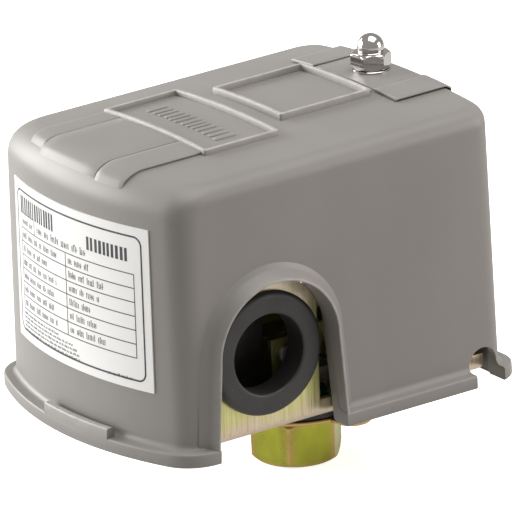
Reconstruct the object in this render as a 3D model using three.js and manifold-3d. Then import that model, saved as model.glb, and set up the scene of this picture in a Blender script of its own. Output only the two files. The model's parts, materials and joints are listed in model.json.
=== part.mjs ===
// Diaphragm pressure switch for a water pump: a zinc-plated bracket that hangs on its pipe port, a
// diaphragm and piston below, a spring-loaded lever and snap contacts above, and a moulded cover that
// lifts off once the cap nut on the range stud is undone.
//
// Millimetres, +Z up. -Y is the front, where the rating label is. The cable entries face +X and -X.
// The assembly is drawn about the pressure port's axis and then moved back by PORT_Y, so that the
// origin is the centre of the plan outline at the level of the port's bottom face.
import * as THREE from "three";
import { mergeVertices } from "three/addons/utils/BufferGeometryUtils.js";
import Module from "manifold-3d";

const wasm = await Module();
wasm.setup();

// ---- driving dimensions -------------------------------------------------------------------------
const PORT_Y = 13.25; // the port's axis behind the centre of the plan outline

// cover shell
const WALL = 2; // moulded wall thickness
const SIDE_X = 35.7; // outside of the side walls, just above the flange
const BACK_Y = 33; // outside of the back wall
const FRONT_Y = -59.5; // foremost point of the bowed front wall
const BOW_R = 85; // plan radius of the bowed front
const FRONT_CORNER_R = 7;
const BACK_CORNER_R = 4.5;
const DRAFT = THREE.MathUtils.degToRad(1); // mould draft of the walls
const FLANGE_Z = 20.7; // underside of the cover's flange
const FLANGE_H = 3.1;
const FLANGE_OUT = 3; // how far the flange stands out of the wall
const TOP_Z = 83.4; // height of the top face's ridge at TOP_FRONT_Y
const TOP_FRONT_Y = -45;
const TOP_RISE = 0.0235; // the top face rises this much per millimetre towards the back
const TOP_CROWN_R = 263; // the top face is bowed from side to side
const FRONT_TOP_R = 8.3; // edge roundings between the top face and the walls
const SIDE_TOP_R = 4.4;
const BACK_TOP_R = 3.5;
const CROWN_H = 13; // height of the zone that holds the roundings, the tilt and the bow
const RIB_W = 1.1; // raised ribs on the top face
const RIB_H = 1.1;

// arched cable openings in the cover's sides
const ARCH_Y = -29.3;
const ARCH_Z = 42.6; // centre of the round top
const ARCH_R = 15.3;
const ARCH_FOOT = 16.9; // half width at the flange's underside
const LABEL_Z = [35.8, 72.6]; // lower and upper edge of the rating label
const COLLAR_FLARE = 2.3; // how much wider the collar is at the wall than at its rim
const NOTCH_Y = 26.6; // small notches near the back corners
const NOTCH_R = 3.9;
const NOTCH_Z = 24.8;

// bracket
const SHEET = 1.5; // bracket sheet thickness
const EAR_X = 32.4; // outer face of the bracket's ears
const BASE_Z = 21.5; // underside of the bracket's base
const BEND_R = 3; // outside bend radius between base and ears
const EAR_FRONT_Y = -43.9;
const EAR_BACK_Y = -15.5;
const EAR_R = 17; // radius of the ear's round top
const BASE_FRONT_Y = -53;
const BASE_BACK_Y = 29;
const LIP_Z = 26; // top of the low side lips behind the ears
const BASE_TOP = BASE_Z + SHEET;

// cable grommets
const GROMMET_Y = -29.7;
const GROMMET_Z = 40.6;
const GROMMET_R = 14;
const GROMMET_BORE_R = 9;
const KNOCKOUT_R = 11.3; // hole in the ear

// pressure port and diaphragm chamber
const PORT_AF = 19; // across flats
const PORT_HEX_H = 10.5;
const PORT_BORE_R = 5.8;
const PORT_TURN = THREE.MathUtils.degToRad(47); // puts the hexagon's corners 17 degrees round from +X
const FLANGE_PLATE_Z = 12.9;
const FLANGE_PLATE_T = 0.8;
const CHAMBER_R = 17.1;
const FLANGE_BOLT_R = 19;
const FLANGE_BOLT_TURN = THREE.MathUtils.degToRad(7);
const DIAPHRAGM_TOP = 16.2;
const PISTON_R = 8.9;

// springs, studs and lever
const RANGE_Y = 24.4; // axis of the range stud and of the cap nut, at X = 0
const STUD_R = 2.4;
const STUD_TOP = 90;
const DIFF_X = 15.5; // axis of the differential stud
const DIFF_Y = 18;
const DIFF_STUD_R = 1.9;
const DIFF_STUD_TOP = 60;
const LEVER_Z = 27; // underside of the lever plate
const LEVER_TOP = LEVER_Z + SHEET;
const PIVOT_Y = -12;
const PIVOT_Z = 31;
const PIVOT_R = 1.5;
const RANGE_SEAT_Z = 62;
const DIFF_SEAT_Z = 47;

// contact block
const BLOCK_HALF_X = 21;
const BLOCK_FRONT_Y = -52;
const BLOCK_BACK_Y = -22.2;
const BLOCK_TOP = 33; // terminal deck
const CHAMBER_FRONT_Y = -35;
const CHAMBER_TOP = 49.5;
const POLE_X = [-15, -5, 5, 15];
const TERMINAL_Y = -45;
const CONTACT_Y = -28;
const BRIDGE_X = { left: -10, right: 10 };

const SEGMENTS = 24; // facets of an ordinary round
const SMALL_SEGMENTS = 12; // facets of a screw or pin

// ---- materials ----------------------------------------------------------------------------------
function finish(colour, roughness, metalness) {
  return new THREE.MeshStandardMaterial({ color: colour, roughness, metalness });
}

const materials = {
  cover: () => finish(0x8a837f, 0.38, 0),
  label: () => finish(0xf2f1ee, 0.45, 0),
  nickel: () => finish(0xc9c6c0, 0.15, 1),
  chromate: () => finish(0xd8d27c, 0.35, 1),
  olive: () => finish(0x9aa03a, 0.35, 1),
  rubber: () => finish(0x2c2a29, 0.6, 0),
  zinc: () => finish(0xb9bcc0, 0.3, 1),
  springSteel: () => finish(0x9a9ba0, 0.3, 1),
  phenolic: () => finish(0x1d1b1a, 0.5, 0),
  brass: () => finish(0xc8a24a, 0.3, 1),
  copper: () => finish(0xb87550, 0.3, 1),
  nylon: () => finish(0xd9d4c4, 0.5, 0),
  fibre: () => finish(0x4a3a30, 0.8, 0),
  green: () => finish(0x2f7a45, 0.4, 0.6),
};

// ---- solids: closed geometry in and out of the boolean library ----------------------------------
// The vertices and triangles of a geometry, merged by position, without collapsed triangles.
function meshArrays(geometry) {
  const bare = new THREE.BufferGeometry();
  bare.setAttribute("position", geometry.getAttribute("position"));
  if (geometry.index) bare.setIndex(geometry.index);
  const merged = mergeVertices(bare, 1e-4);
  const kept = [];
  const index = merged.index.array;
  for (let i = 0; i < index.length; i += 3) {
    const [a, b, c] = [index[i], index[i + 1], index[i + 2]];
    if (a !== b && b !== c && a !== c) kept.push(a, b, c);
  }
  return { vertProperties: merged.attributes.position.array, triVerts: new Uint32Array(kept) };
}

function solid(geometry) {
  const { vertProperties, triVerts } = meshArrays(geometry);
  const made = new wasm.Manifold(new wasm.Mesh({ numProp: 3, vertProperties, triVerts }));
  if (made.volume() > 0) return made;
  const turned = triVerts.slice();
  for (let i = 0; i < turned.length; i += 3) {
    turned[i] = triVerts[i + 1];
    turned[i + 1] = triVerts[i];
  }
  return new wasm.Manifold(new wasm.Mesh({ numProp: 3, vertProperties, triVerts: turned }));
}

const join = (first, ...rest) => rest.reduce((whole, piece) => whole.add(piece), first);
const cut = (first, ...tools) => tools.reduce((whole, tool) => whole.subtract(tool), first);

// The main body of a solid, without the slivers that rounding leaves where two faces share a plane.
function mainBody(manifold) {
  return manifold.decompose().sort((a, b) => b.volume() - a.volume())[0];
}

function geometryOf(manifold) {
  const mesh = manifold.getMesh();
  const count = mesh.vertProperties.length / mesh.numProp;
  const positions = new Float32Array(count * 3);
  for (let i = 0; i < count; i++) {
    const start = i * mesh.numProp;
    positions.set(mesh.vertProperties.subarray(start, start + 3), i * 3);
  }
  const geometry = new THREE.BufferGeometry();
  geometry.setAttribute("position", new THREE.BufferAttribute(positions, 3));
  geometry.setIndex(new THREE.BufferAttribute(new Uint32Array(mesh.triVerts), 1));
  geometry.computeVertexNormals();
  return geometry;
}

// ---- basic shapes -------------------------------------------------------------------------------
function box(x, y, z) {
  const geometry = new THREE.BoxGeometry(x[1] - x[0], y[1] - y[0], z[1] - z[0]);
  geometry.translate((x[0] + x[1]) / 2, (y[0] + y[1]) / 2, (z[0] + z[1]) / 2);
  return solid(geometry);
}

// A solid of revolution about a vertical axis through (x, y). The profile is [radius, z] pairs that
// start and end on the axis, or close on themselves.
function turned(profile, x = 0, y = 0, segments = SEGMENTS, turn = 0) {
  const points = profile.map(([radius, z]) => new THREE.Vector2(radius, z));
  const geometry = new THREE.LatheGeometry(points, segments);
  geometry.rotateX(Math.PI / 2);
  geometry.rotateZ(turn);
  geometry.translate(x, y, 0);
  return solid(geometry);
}

function rod(radius, z, x = 0, y = 0, segments = SEGMENTS, turn = 0) {
  const profile = [[0, z[0]], [radius, z[0]], [radius, z[1]], [0, z[1]]];
  return turned(profile, x, y, segments, turn);
}

function tube(outer, inner, z, x = 0, y = 0, segments = SEGMENTS) {
  const profile = [[inner, z[0]], [outer, z[0]], [outer, z[1]], [inner, z[1]], [inner, z[0]]];
  return turned(profile, x, y, segments);
}

const cornerRadius = (acrossFlats) => acrossFlats / 2 / Math.cos(Math.PI / 6);

function hexagon(acrossFlats, z, x = 0, y = 0, turn = 0) {
  return rod(cornerRadius(acrossFlats), z, x, y, 6, turn);
}

// A round bar along X, centred on (y, z).
function barX(radius, x, y, z, segments = SMALL_SEGMENTS) {
  const geometry = new THREE.CylinderGeometry(radius, radius, x[1] - x[0], segments);
  geometry.rotateZ(Math.PI / 2);
  geometry.translate((x[0] + x[1]) / 2, y, z);
  return solid(geometry);
}

// A solid through a stack of convex rings with the same number of points, closed at both ends.
function loft(rings) {
  const size = rings[0].length;
  const positions = [];
  const index = [];
  for (const ring of rings) {
    for (const point of ring) positions.push(point.x, point.y, point.z);
  }
  for (let r = 0; r + 1 < rings.length; r++) {
    for (let i = 0; i < size; i++) {
      const a = r * size + i;
      const b = r * size + ((i + 1) % size);
      index.push(a, b, a + size, b, b + size, a + size);
    }
  }
  const ends = [[0, false], [rings.length - 1, true]];
  for (const [r, last] of ends) {
    const centre = new THREE.Vector3();
    for (const point of rings[r]) centre.addScaledVector(point, 1 / size);
    const hub = positions.length / 3;
    positions.push(centre.x, centre.y, centre.z);
    for (let i = 0; i < size; i++) {
      const a = r * size + i;
      const b = r * size + ((i + 1) % size);
      index.push(...(last ? [a, b, hub] : [b, a, hub]));
    }
  }
  const geometry = new THREE.BufferGeometry();
  geometry.setAttribute("position", new THREE.Float32BufferAttribute(positions, 3));
  geometry.setIndex(index);
  return solid(geometry);
}

// A flat outline of [a, b] pairs carried along X from x[0] to x[1]; a is Y and b is Z.
function prismX(outline, x) {
  const ring = (at) => outline.map(([a, b]) => new THREE.Vector3(at, a, b));
  return loft([ring(x[0]), ring(x[1])]);
}

// ---- wire and strip along a curve ---------------------------------------------------------------
class Helix extends THREE.Curve {
  constructor(radius, z, turns) {
    super();
    Object.assign(this, { radius, z, turns });
  }

  getPoint(t, target = new THREE.Vector3()) {
    const angle = 2 * Math.PI * this.turns * t;
    const height = THREE.MathUtils.lerp(this.z[0], this.z[1], t);
    return target.set(this.radius * Math.cos(angle), this.radius * Math.sin(angle), height);
  }
}

const STEPS_PER_TURN = 8;

// A compression spring whose ends lie between z[0] and z[1].
function spring(outerRadius, wireRadius, z, turns, x, y) {
  const ends = [z[0] + wireRadius, z[1] - wireRadius];
  const path = new Helix(outerRadius - wireRadius, ends, turns);
  const corners = [0, 1, 2, 3, 4, 5].map((k) => {
    const angle = (k * Math.PI) / 3;
    return new THREE.Vector2(wireRadius * Math.cos(angle), wireRadius * Math.sin(angle));
  });
  const geometry = new THREE.ExtrudeGeometry(new THREE.Shape(corners), {
    extrudePath: path,
    steps: Math.round(turns * STEPS_PER_TURN),
    bevelEnabled: false,
  });
  geometry.translate(x, y, 0);
  return solid(geometry);
}

// ---- cover --------------------------------------------------------------------------------------
const FRONT_STEPS = 10; // facets across the bowed front
const CORNER_STEPS = 5; // facets round each corner

function arcPoints(cx, cy, radius, from, to, steps) {
  const points = [];
  for (let i = 0; i <= steps; i++) {
    const angle = THREE.MathUtils.lerp(from, to, i / steps);
    points.push([cx + radius * Math.cos(angle), cy + radius * Math.sin(angle)]);
  }
  return points;
}

// A plan outline with straight sides, straight back and bowed front, as [x, y] pairs that run
// anticlockwise from the left end of the back.
function planOutline({ sideX, frontY, backY, frontR, backR }) {
  const quarter = Math.PI / 2;
  const bowY = frontY + BOW_R;
  const cornerX = sideX - frontR;
  const tilt = Math.asin(cornerX / (BOW_R - frontR));
  const cornerY = bowY - (BOW_R - frontR) * Math.cos(tilt);
  const backX = sideX - backR;
  const left = -quarter - tilt;
  const right = -quarter + tilt;
  return [
    ...arcPoints(-backX, backY - backR, backR, quarter, 2 * quarter, CORNER_STEPS),
    ...arcPoints(-cornerX, cornerY, frontR, -2 * quarter, left, CORNER_STEPS),
    ...arcPoints(0, bowY, BOW_R, left, right, FRONT_STEPS).slice(1, -1),
    ...arcPoints(cornerX, cornerY, frontR, right, 0, CORNER_STEPS),
    ...arcPoints(backX, backY - backR, backR, 0, quarter, CORNER_STEPS),
  ];
}

// How far a rounded edge of this radius has pulled the wall in at height z.
function edgeInset(z, radius, top) {
  const rise = z - (top - radius);
  if (rise <= 0) return 0;
  return radius - Math.sqrt(Math.max(0, radius * radius - rise * rise));
}

// The top face is tilted and bowed a little, and both fade out down the walls.
function crownedHeight(x, y, z) {
  const share = THREE.MathUtils.clamp((z - TOP_Z + CROWN_H) / CROWN_H, 0, 1);
  return z + share * (TOP_RISE * (y - TOP_FRONT_Y) - (x * x) / (2 * TOP_CROWN_R));
}

const topHeight = (x, y) => crownedHeight(x, y, TOP_Z);

// The wall's ring at height z: "out" is outwards of the outer surface, "depth" is inside it.
function wallRing(z, out = 0, depth = 0) {
  const top = TOP_Z - depth;
  const shift = out - depth - Math.tan(DRAFT) * (z - FLANGE_Z);
  const outline = planOutline({
    sideX: SIDE_X + shift - edgeInset(z, SIDE_TOP_R - depth, top),
    frontY: FRONT_Y - shift + edgeInset(z, FRONT_TOP_R - depth, top),
    backY: BACK_Y + shift - edgeInset(z, BACK_TOP_R - depth, top),
    frontR: FRONT_CORNER_R + out - depth,
    backR: BACK_CORNER_R + out - depth,
  });
  return outline.map(([x, y]) => new THREE.Vector3(x, y, crownedHeight(x, y, z)));
}

// Rings from the foot of the rounded edge up to the top face.
function edgeRings(depth) {
  const drops = [1, 0.7, 0.45, 0.25, 0.1, 0.02, 0];
  return drops.map((drop) => wallRing(TOP_Z - depth - drop * (CROWN_H - depth), 0, depth));
}

// Smaller and smaller rings on the top face, so that it follows the bow.
function capRings(depth) {
  const edge = wallRing(TOP_Z - depth, 0, depth);
  const middleY = (FRONT_Y + BACK_Y) / 2;
  const shrink = (share) =>
    edge.map((point) => {
      const x = point.x * share;
      const y = THREE.MathUtils.lerp(middleY, point.y, share);
      return new THREE.Vector3(x, y, crownedHeight(x, y, TOP_Z - depth));
    });
  return [0.75, 0.5, 0.25].map(shrink);
}

function flangeRing(z) {
  const outline = planOutline({
    sideX: SIDE_X + FLANGE_OUT,
    frontY: FRONT_Y - FLANGE_OUT,
    backY: BACK_Y + FLANGE_OUT,
    frontR: FRONT_CORNER_R + FLANGE_OUT,
    backR: BACK_CORNER_R + FLANGE_OUT,
  });
  return outline.map(([x, y]) => new THREE.Vector3(x, y, z));
}

function coverShell() {
  const flangeTop = FLANGE_Z + FLANGE_H;
  const outside = loft([
    flangeRing(FLANGE_Z),
    flangeRing(flangeTop),
    wallRing(flangeTop + 0.05),
    wallRing(LABEL_Z[0]),
    wallRing(LABEL_Z[1]),
    ...edgeRings(0),
    ...capRings(0),
  ]);
  const inside = loft([wallRing(FLANGE_Z - 1, 0, WALL), ...edgeRings(WALL), ...capRings(WALL)]);
  return cut(outside, inside);
}

// Outline of a cable opening, widened by "wider": straight tapered sides under a round top.
function archOutline(wider, foot = FLANGE_Z - 1) {
  const steps = 16;
  const points = [[ARCH_Y + ARCH_FOOT + wider, foot]];
  for (let i = 0; i <= steps; i++) {
    const angle = (Math.PI * i) / steps;
    const radius = ARCH_R + wider;
    points.push([ARCH_Y + radius * Math.cos(angle), ARCH_Z + radius * Math.sin(angle)]);
  }
  points.push([ARCH_Y - ARCH_FOOT - wider, foot]);
  return points;
}

// The collar around a cable opening: a cone that narrows from the wall to its rim.
function archCollar(side) {
  const rimX = SIDE_X + FLANGE_OUT - 0.1;
  const wallX = SIDE_X - WALL;
  const ring = (x, wider) => {
    const outline = archOutline(wider, FLANGE_Z + 0.3);
    return outline.map(([y, z]) => new THREE.Vector3(side * x, y, z));
  };
  return loft([ring(wallX, COLLAR_FLARE + 0.2), ring(rimX, 0.4)]);
}

const archOpening = () => prismX(archOutline(0), [-SIDE_X - 10, SIDE_X + 10]);

function notchOutline(wider) {
  const steps = 10;
  const points = [[NOTCH_Y + NOTCH_R + wider, FLANGE_Z - 1]];
  for (let i = 0; i <= steps; i++) {
    const angle = (Math.PI * i) / steps;
    const radius = NOTCH_R + wider;
    points.push([NOTCH_Y + radius * Math.cos(angle), NOTCH_Z + radius * Math.sin(angle)]);
  }
  points.push([NOTCH_Y - NOTCH_R - wider, FLANGE_Z - 1]);
  return points;
}

// A raised shape on the sloping top face, from "depth" below it to "height" above it.
function onTop(x, y, height, depth = WALL / 2) {
  const steps = 6;
  const outline = [];
  for (let i = 0; i <= steps; i++) outline.push([THREE.MathUtils.lerp(x[0], x[1], i / steps), y[0]]);
  for (let i = 0; i <= steps; i++) outline.push([THREE.MathUtils.lerp(x[1], x[0], i / steps), y[1]]);
  const ring = (lift) => outline.map(([a, b]) => new THREE.Vector3(a, b, topHeight(a, b) + lift));
  return loft([ring(-depth), ring(height)]);
}

function topFrame(halfWidth, y) {
  const outer = onTop([-halfWidth, halfWidth], y, RIB_H);
  const innerY = [y[0] + RIB_W, y[1] - RIB_W];
  const inner = onTop([-halfWidth + RIB_W, halfWidth - RIB_W], innerY, RIB_H + 1, WALL);
  return cut(outer, inner);
}

// The raised block in the middle of the front flange.
function latchBlock() {
  const foot = FLANGE_Z + 0.5;
  const top = FLANGE_Z + FLANGE_H + 2.3;
  const block = loft([wallRing(foot, FLANGE_OUT - 0.2), wallRing(top, FLANGE_OUT - 0.2)]);
  const inside = loft([wallRing(foot - 1, -1), wallRing(top + 1, -1)]);
  const span = box([-6.4, 16.5], [FRONT_Y - 10, FRONT_Y + 10], [foot - 1, top + 1]);
  return cut(block, inside).intersect(span);
}

const CAP_BOSS_R = 5.6;
const CAP_BOSS_TOP = 85.3;

function cover() {
  const relief = join(
    topFrame(19.9, [-34.3, -14.6]),
    topFrame(13.3, [-9.7, 14.8]),
    onTop([11.6, 20], [16, 28], RIB_H * 0.6),
    onTop([-20, -11.6], [16, 28], RIB_H * 0.6),
    rod(CAP_BOSS_R, [TOP_Z - 1, CAP_BOSS_TOP], 0, RANGE_Y),
  );
  const body = join(coverShell(), archCollar(1), archCollar(-1), latchBlock(), relief);
  const notch = prismX(notchOutline(0), [-SIDE_X - 10, SIDE_X + 10]);
  const studHole = rod(STUD_R + 0.6, [TOP_Z - 5, TOP_Z + 5], 0, RANGE_Y, SMALL_SEGMENTS);
  return cut(body, archOpening(), notch, studHole);
}

// The label is a thin sheet on the front wall that reaches round the left front corner.
function ratingLabel() {
  const gap = 0.3;
  const sheet = 0.2;
  const first = CORNER_STEPS + 1 + 3;
  const last = first + CORNER_STEPS + FRONT_STEPS - 4;
  const [low, high] = LABEL_Z;
  const edges = [[low, gap], [low, gap + sheet], [high, gap + sheet], [high, gap]];
  const rings = edges.map(([z, out]) => wallRing(z, out));
  const stations = [];
  for (let i = first; i <= last; i++) stations.push(rings.map((ring) => ring[i]));
  return loft(stations);
}

// ---- cap nut ------------------------------------------------------------------------------------
const CAP_WASHER_T = 0.6;
const CAP_NUT_Z = CAP_BOSS_TOP + CAP_WASHER_T + 0.05;
const CAP_NUT_AF = 8;
const CAP_HEX_H = 3.7;
const DOME_R = 3.15;

const capWasher = () => tube(4.9, STUD_R + 0.3, [CAP_BOSS_TOP + 0.02, CAP_NUT_Z - 0.03], 0, RANGE_Y);

function capNut() {
  const hexTop = CAP_NUT_Z + CAP_HEX_H;
  const collarTop = hexTop + 1;
  const dome = [[0, hexTop - 1], [DOME_R, hexTop - 1], [DOME_R, collarTop]];
  const steps = 6;
  for (let i = 1; i <= steps; i++) {
    const angle = ((Math.PI / 2) * i) / steps;
    dome.push([i === steps ? 0 : DOME_R * Math.cos(angle), collarTop + DOME_R * Math.sin(angle)]);
  }
  const corner = cornerRadius(CAP_NUT_AF);
  const chamfer = turned(
    [
      [0, CAP_NUT_Z - 1],
      [corner, CAP_NUT_Z - 1],
      [corner, hexTop - 0.5],
      [corner - 0.9, hexTop],
      [0, hexTop],
    ],
    0,
    RANGE_Y,
    SEGMENTS,
  );
  const hex = hexagon(CAP_NUT_AF, [CAP_NUT_Z, hexTop], 0, RANGE_Y, Math.PI / 6).intersect(chamfer);
  const bore = rod(STUD_R + 0.2, [CAP_NUT_Z - 1, STUD_TOP + 0.6], 0, RANGE_Y, SMALL_SEGMENTS);
  return cut(join(hex, turned(dome, 0, RANGE_Y)), bore);
}

// ---- bracket and grommets -----------------------------------------------------------------------
// Outline of an ear seen along X: square foot, round top centred on the grommet.
function earOutline() {
  const middle = (EAR_FRONT_Y + EAR_BACK_Y) / 2;
  const half = (EAR_BACK_Y - EAR_FRONT_Y) / 2;
  const start = Math.acos(half / EAR_R);
  const steps = 12;
  const points = [[EAR_FRONT_Y, BASE_Z - 1], [EAR_BACK_Y, BASE_Z - 1]];
  for (let i = 0; i <= steps; i++) {
    const angle = THREE.MathUtils.lerp(start, Math.PI - start, i / steps);
    points.push([middle + EAR_R * Math.cos(angle), GROMMET_Z + EAR_R * Math.sin(angle)]);
  }
  return points;
}

// The U-shaped sheet with rounded bends, before the ears are cut to shape.
function bentSheet(y) {
  const outer = channelOutline(EAR_X, BASE_Z, BEND_R, GROMMET_Z + EAR_R + 1);
  const inner = channelOutline(EAR_X - SHEET, BASE_TOP, BEND_R - SHEET, GROMMET_Z + EAR_R + 2);
  const ring = (outline, at) => outline.map(([x, z]) => new THREE.Vector3(x, at, z));
  const sheet = loft([ring(outer, y[0]), ring(outer, y[1])]);
  return cut(sheet, loft([ring(inner, y[0] - 1), ring(inner, y[1] + 1)]));
}

// A rectangle with its two lower corners rounded, as [x, z] pairs.
function channelOutline(halfX, bottom, radius, top) {
  const steps = 5;
  const points = [[-halfX, top]];
  for (let i = 0; i <= steps; i++) {
    const angle = Math.PI + ((Math.PI / 2) * i) / steps;
    const x = -halfX + radius + radius * Math.cos(angle);
    points.push([x, bottom + radius + radius * Math.sin(angle)]);
  }
  for (let i = 0; i <= steps; i++) {
    const angle = 1.5 * Math.PI + ((Math.PI / 2) * i) / steps;
    const x = halfX - radius + radius * Math.cos(angle);
    points.push([x, bottom + radius + radius * Math.sin(angle)]);
  }
  points.push([halfX, top]);
  return points;
}

// The centres of the four screws that clamp the diaphragm, and of the lugs they sit in.
function flangeBolts() {
  return [0, 1, 2, 3].map((k) => {
    const angle = FLANGE_BOLT_TURN + (k * Math.PI) / 2;
    return [FLANGE_BOLT_R * Math.cos(angle), FLANGE_BOLT_R * Math.sin(angle)];
  });
}

const GROUND_SCREWS = { left: [-24, -12], right: [24, -12] };
const BLOCK_SCREWS = { left: [-24.2, -41], right: [24.2, -41] };
const M3_R = 1.5;
const M4_R = 1.9;

function baseBracket() {
  const long = [EAR_BACK_Y - 4, BASE_BACK_Y];
  const ears = bentSheet([EAR_FRONT_Y, EAR_BACK_Y]).intersect(prismX(earOutline(), [-40, 40]));
  const rear = bentSheet(long).intersect(box([-40, 40], long, [BASE_Z, LIP_Z]));
  const tongue = box([-22, 22], [BASE_FRONT_Y, EAR_FRONT_Y + 2], [BASE_Z, BASE_TOP]);
  const fold = (side) => {
    const x = [side * (EAR_X - 7), side * (EAR_X - SHEET / 2)].sort((a, b) => a - b);
    return box(x, [EAR_BACK_Y - SHEET, EAR_BACK_Y], [LIP_Z + 1, 48]);
  };
  const hole = (radius, [x, y]) => rod(radius, [BASE_Z - 2, BASE_TOP + 2], x, y, SMALL_SEGMENTS);
  const knockouts = barX(KNOCKOUT_R, [-40, 40], GROMMET_Y, GROMMET_Z, SEGMENTS);
  return cut(
    join(ears, rear, tongue, fold(1), fold(-1)),
    knockouts,
    rod(9.5, [BASE_Z - 2, BASE_TOP + 2]),
    hole(STUD_R + 0.2, [0, RANGE_Y]),
    hole(DIFF_STUD_R + 0.2, [DIFF_X, DIFF_Y]),
    ...flangeBolts().map((at) => hole(M4_R + 0.2, at)),
    ...Object.values(GROUND_SCREWS).map((at) => hole(M4_R + 0.2, at)),
    ...Object.values(BLOCK_SCREWS).map((at) => hole(M3_R + 0.2, at)),
  );
}

// A grommet: outer lip, waist in the ear's hole, inner lip. side is +1 for right, -1 for left.
function grommet(side) {
  const profile = [
    [GROMMET_BORE_R, EAR_X - 3.8],
    [GROMMET_R - 1.8, EAR_X - 3.8],
    [GROMMET_R - 1.8, EAR_X - SHEET - 0.05],
    [KNOCKOUT_R - 0.3, EAR_X - SHEET - 0.05],
    [KNOCKOUT_R - 0.3, EAR_X + 0.05],
    [GROMMET_R, EAR_X + 0.05],
    [GROMMET_R, EAR_X + 1.3],
    [GROMMET_R - 1.3, EAR_X + 2.3],
    [GROMMET_BORE_R + 0.8, EAR_X + 2.3],
    [GROMMET_BORE_R, EAR_X + 1.5],
    [GROMMET_BORE_R, EAR_X - 3.8],
  ];
  const points = profile.map(([radius, x]) => new THREE.Vector2(radius, x));
  const geometry = new THREE.LatheGeometry(points, SEGMENTS);
  geometry.rotateZ((-side * Math.PI) / 2);
  geometry.translate(0, GROMMET_Y, GROMMET_Z);
  return solid(geometry);
}

// ---- pressure port, diaphragm and piston --------------------------------------------------------
const NECK_R = 8;

function portFitting() {
  const corner = cornerRadius(PORT_AF);
  const envelope = turned([
    [0, -1],
    [9.2 - 0.8, -1],
    [9.2, 0],
    [corner, 1.3],
    [corner, PORT_HEX_H - 0.8],
    [corner - 0.9, PORT_HEX_H],
    [0, PORT_HEX_H],
  ]);
  const hex = hexagon(PORT_AF, [0, PORT_HEX_H], 0, 0, PORT_TURN).intersect(envelope);
  const neck = rod(NECK_R, [PORT_HEX_H - 1, FLANGE_PLATE_Z + FLANGE_PLATE_T + 0.2]);
  const bore = turned([
    [0, -1],
    [PORT_BORE_R + 1.6, -1],
    [PORT_BORE_R, 0.9],
    [PORT_BORE_R, 9.6],
    [0, 11],
  ]);
  return cut(join(hex, neck), bore, rod(1.5, [8, 16], 0, 0, SMALL_SEGMENTS));
}

function flangePlate() {
  const z = [FLANGE_PLATE_Z, FLANGE_PLATE_Z + FLANGE_PLATE_T];
  const lugs = flangeBolts().map(([x, y]) => rod(4.4, z, x, y, 16));
  const holes = flangeBolts().map(([x, y]) => rod(M4_R + 0.15, [z[0] - 1, z[1] + 1], x, y, SMALL_SEGMENTS));
  const centreHole = rod(NECK_R + 0.1, [z[0] - 1, z[1] + 1]);
  return cut(join(rod(CHAMBER_R + 0.3, z, 0, 0, 36), ...lugs), centreHole, ...holes);
}

const diaphragm = () =>
  turned([
    [0, 14.8],
    [11, 14.8],
    [12, FLANGE_PLATE_Z + FLANGE_PLATE_T],
    [CHAMBER_R, FLANGE_PLATE_Z + FLANGE_PLATE_T],
    [CHAMBER_R, DIAPHRAGM_TOP],
    [12, DIAPHRAGM_TOP],
    [11, 15.8],
    [0, 15.8],
  ]);

const pistonGuide = () =>
  turned([
    [PISTON_R + 0.4, DIAPHRAGM_TOP],
    [CHAMBER_R, DIAPHRAGM_TOP],
    [CHAMBER_R, 18.4],
    [14.5, BASE_Z - 0.02],
    [PISTON_R + 0.4, BASE_Z - 0.02],
    [PISTON_R + 0.4, DIAPHRAGM_TOP],
  ]);

const piston = () =>
  turned([
    [0, 15.9],
    [PISTON_R, 15.9],
    [PISTON_R, 20.5],
    [5.5, 22],
    [3.6, 24],
    [3.6, LEVER_Z - 0.9],
    [2, LEVER_Z - 0.25],
    [0, LEVER_Z - 0.1],
  ]);

// ---- screws -------------------------------------------------------------------------------------
// A pan-head screw standing on z with its shank pointing down, with a driver slot along X.
function panScrew({ at, z, headR, headH, shankR, length }) {
  const [x, y] = at;
  const profile = [
    [0, z - length],
    [shankR, z - length],
    [shankR, z],
    [headR, z],
    [headR, z + headH * 0.6],
    [headR * 0.75, z + headH],
    [0, z + headH],
  ];
  const slot = box([x - headR - 1, x + headR + 1], [y - 0.4, y + 0.4], [z + headH * 0.5, z + headH + 1]);
  return cut(turned(profile, x, y, SMALL_SEGMENTS), slot);
}

const flangeScrew = (at) =>
  panScrew({ at, z: BASE_TOP + 0.02, headR: 2.9, headH: 2, shankR: 1.75, length: BASE_TOP - FLANGE_PLATE_Z });

const blockScrew = (at) =>
  panScrew({ at, z: 26.05, headR: 2.5, headH: 1.8, shankR: M3_R - 0.1, length: 4.8 });

function groundScrew([x, y]) {
  const head = hexagon(6.5, [BASE_TOP + 0.8, BASE_TOP + 3], x, y);
  const washer = rod(4, [BASE_TOP + 0.02, BASE_TOP + 1], x, y, 20);
  const shank = rod(M4_R - 0.1, [BASE_Z - 0.6, BASE_TOP + 1], x, y, SMALL_SEGMENTS);
  return join(head, washer, shank);
}

// ---- springs, studs and nuts --------------------------------------------------------------------
function rangeStud() {
  return turned(
    [
      [0, BASE_Z - 0.5],
      [STUD_R, BASE_Z - 0.5],
      [STUD_R, BASE_TOP + 0.02],
      [2.8, BASE_TOP + 0.02],
      [2.8, BASE_TOP + 1.2],
      [STUD_R, BASE_TOP + 1.2],
      [STUD_R, STUD_TOP - 0.6],
      [STUD_R - 0.6, STUD_TOP],
      [0, STUD_TOP],
    ],
    0,
    RANGE_Y,
    SMALL_SEGMENTS,
  );
}

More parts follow.
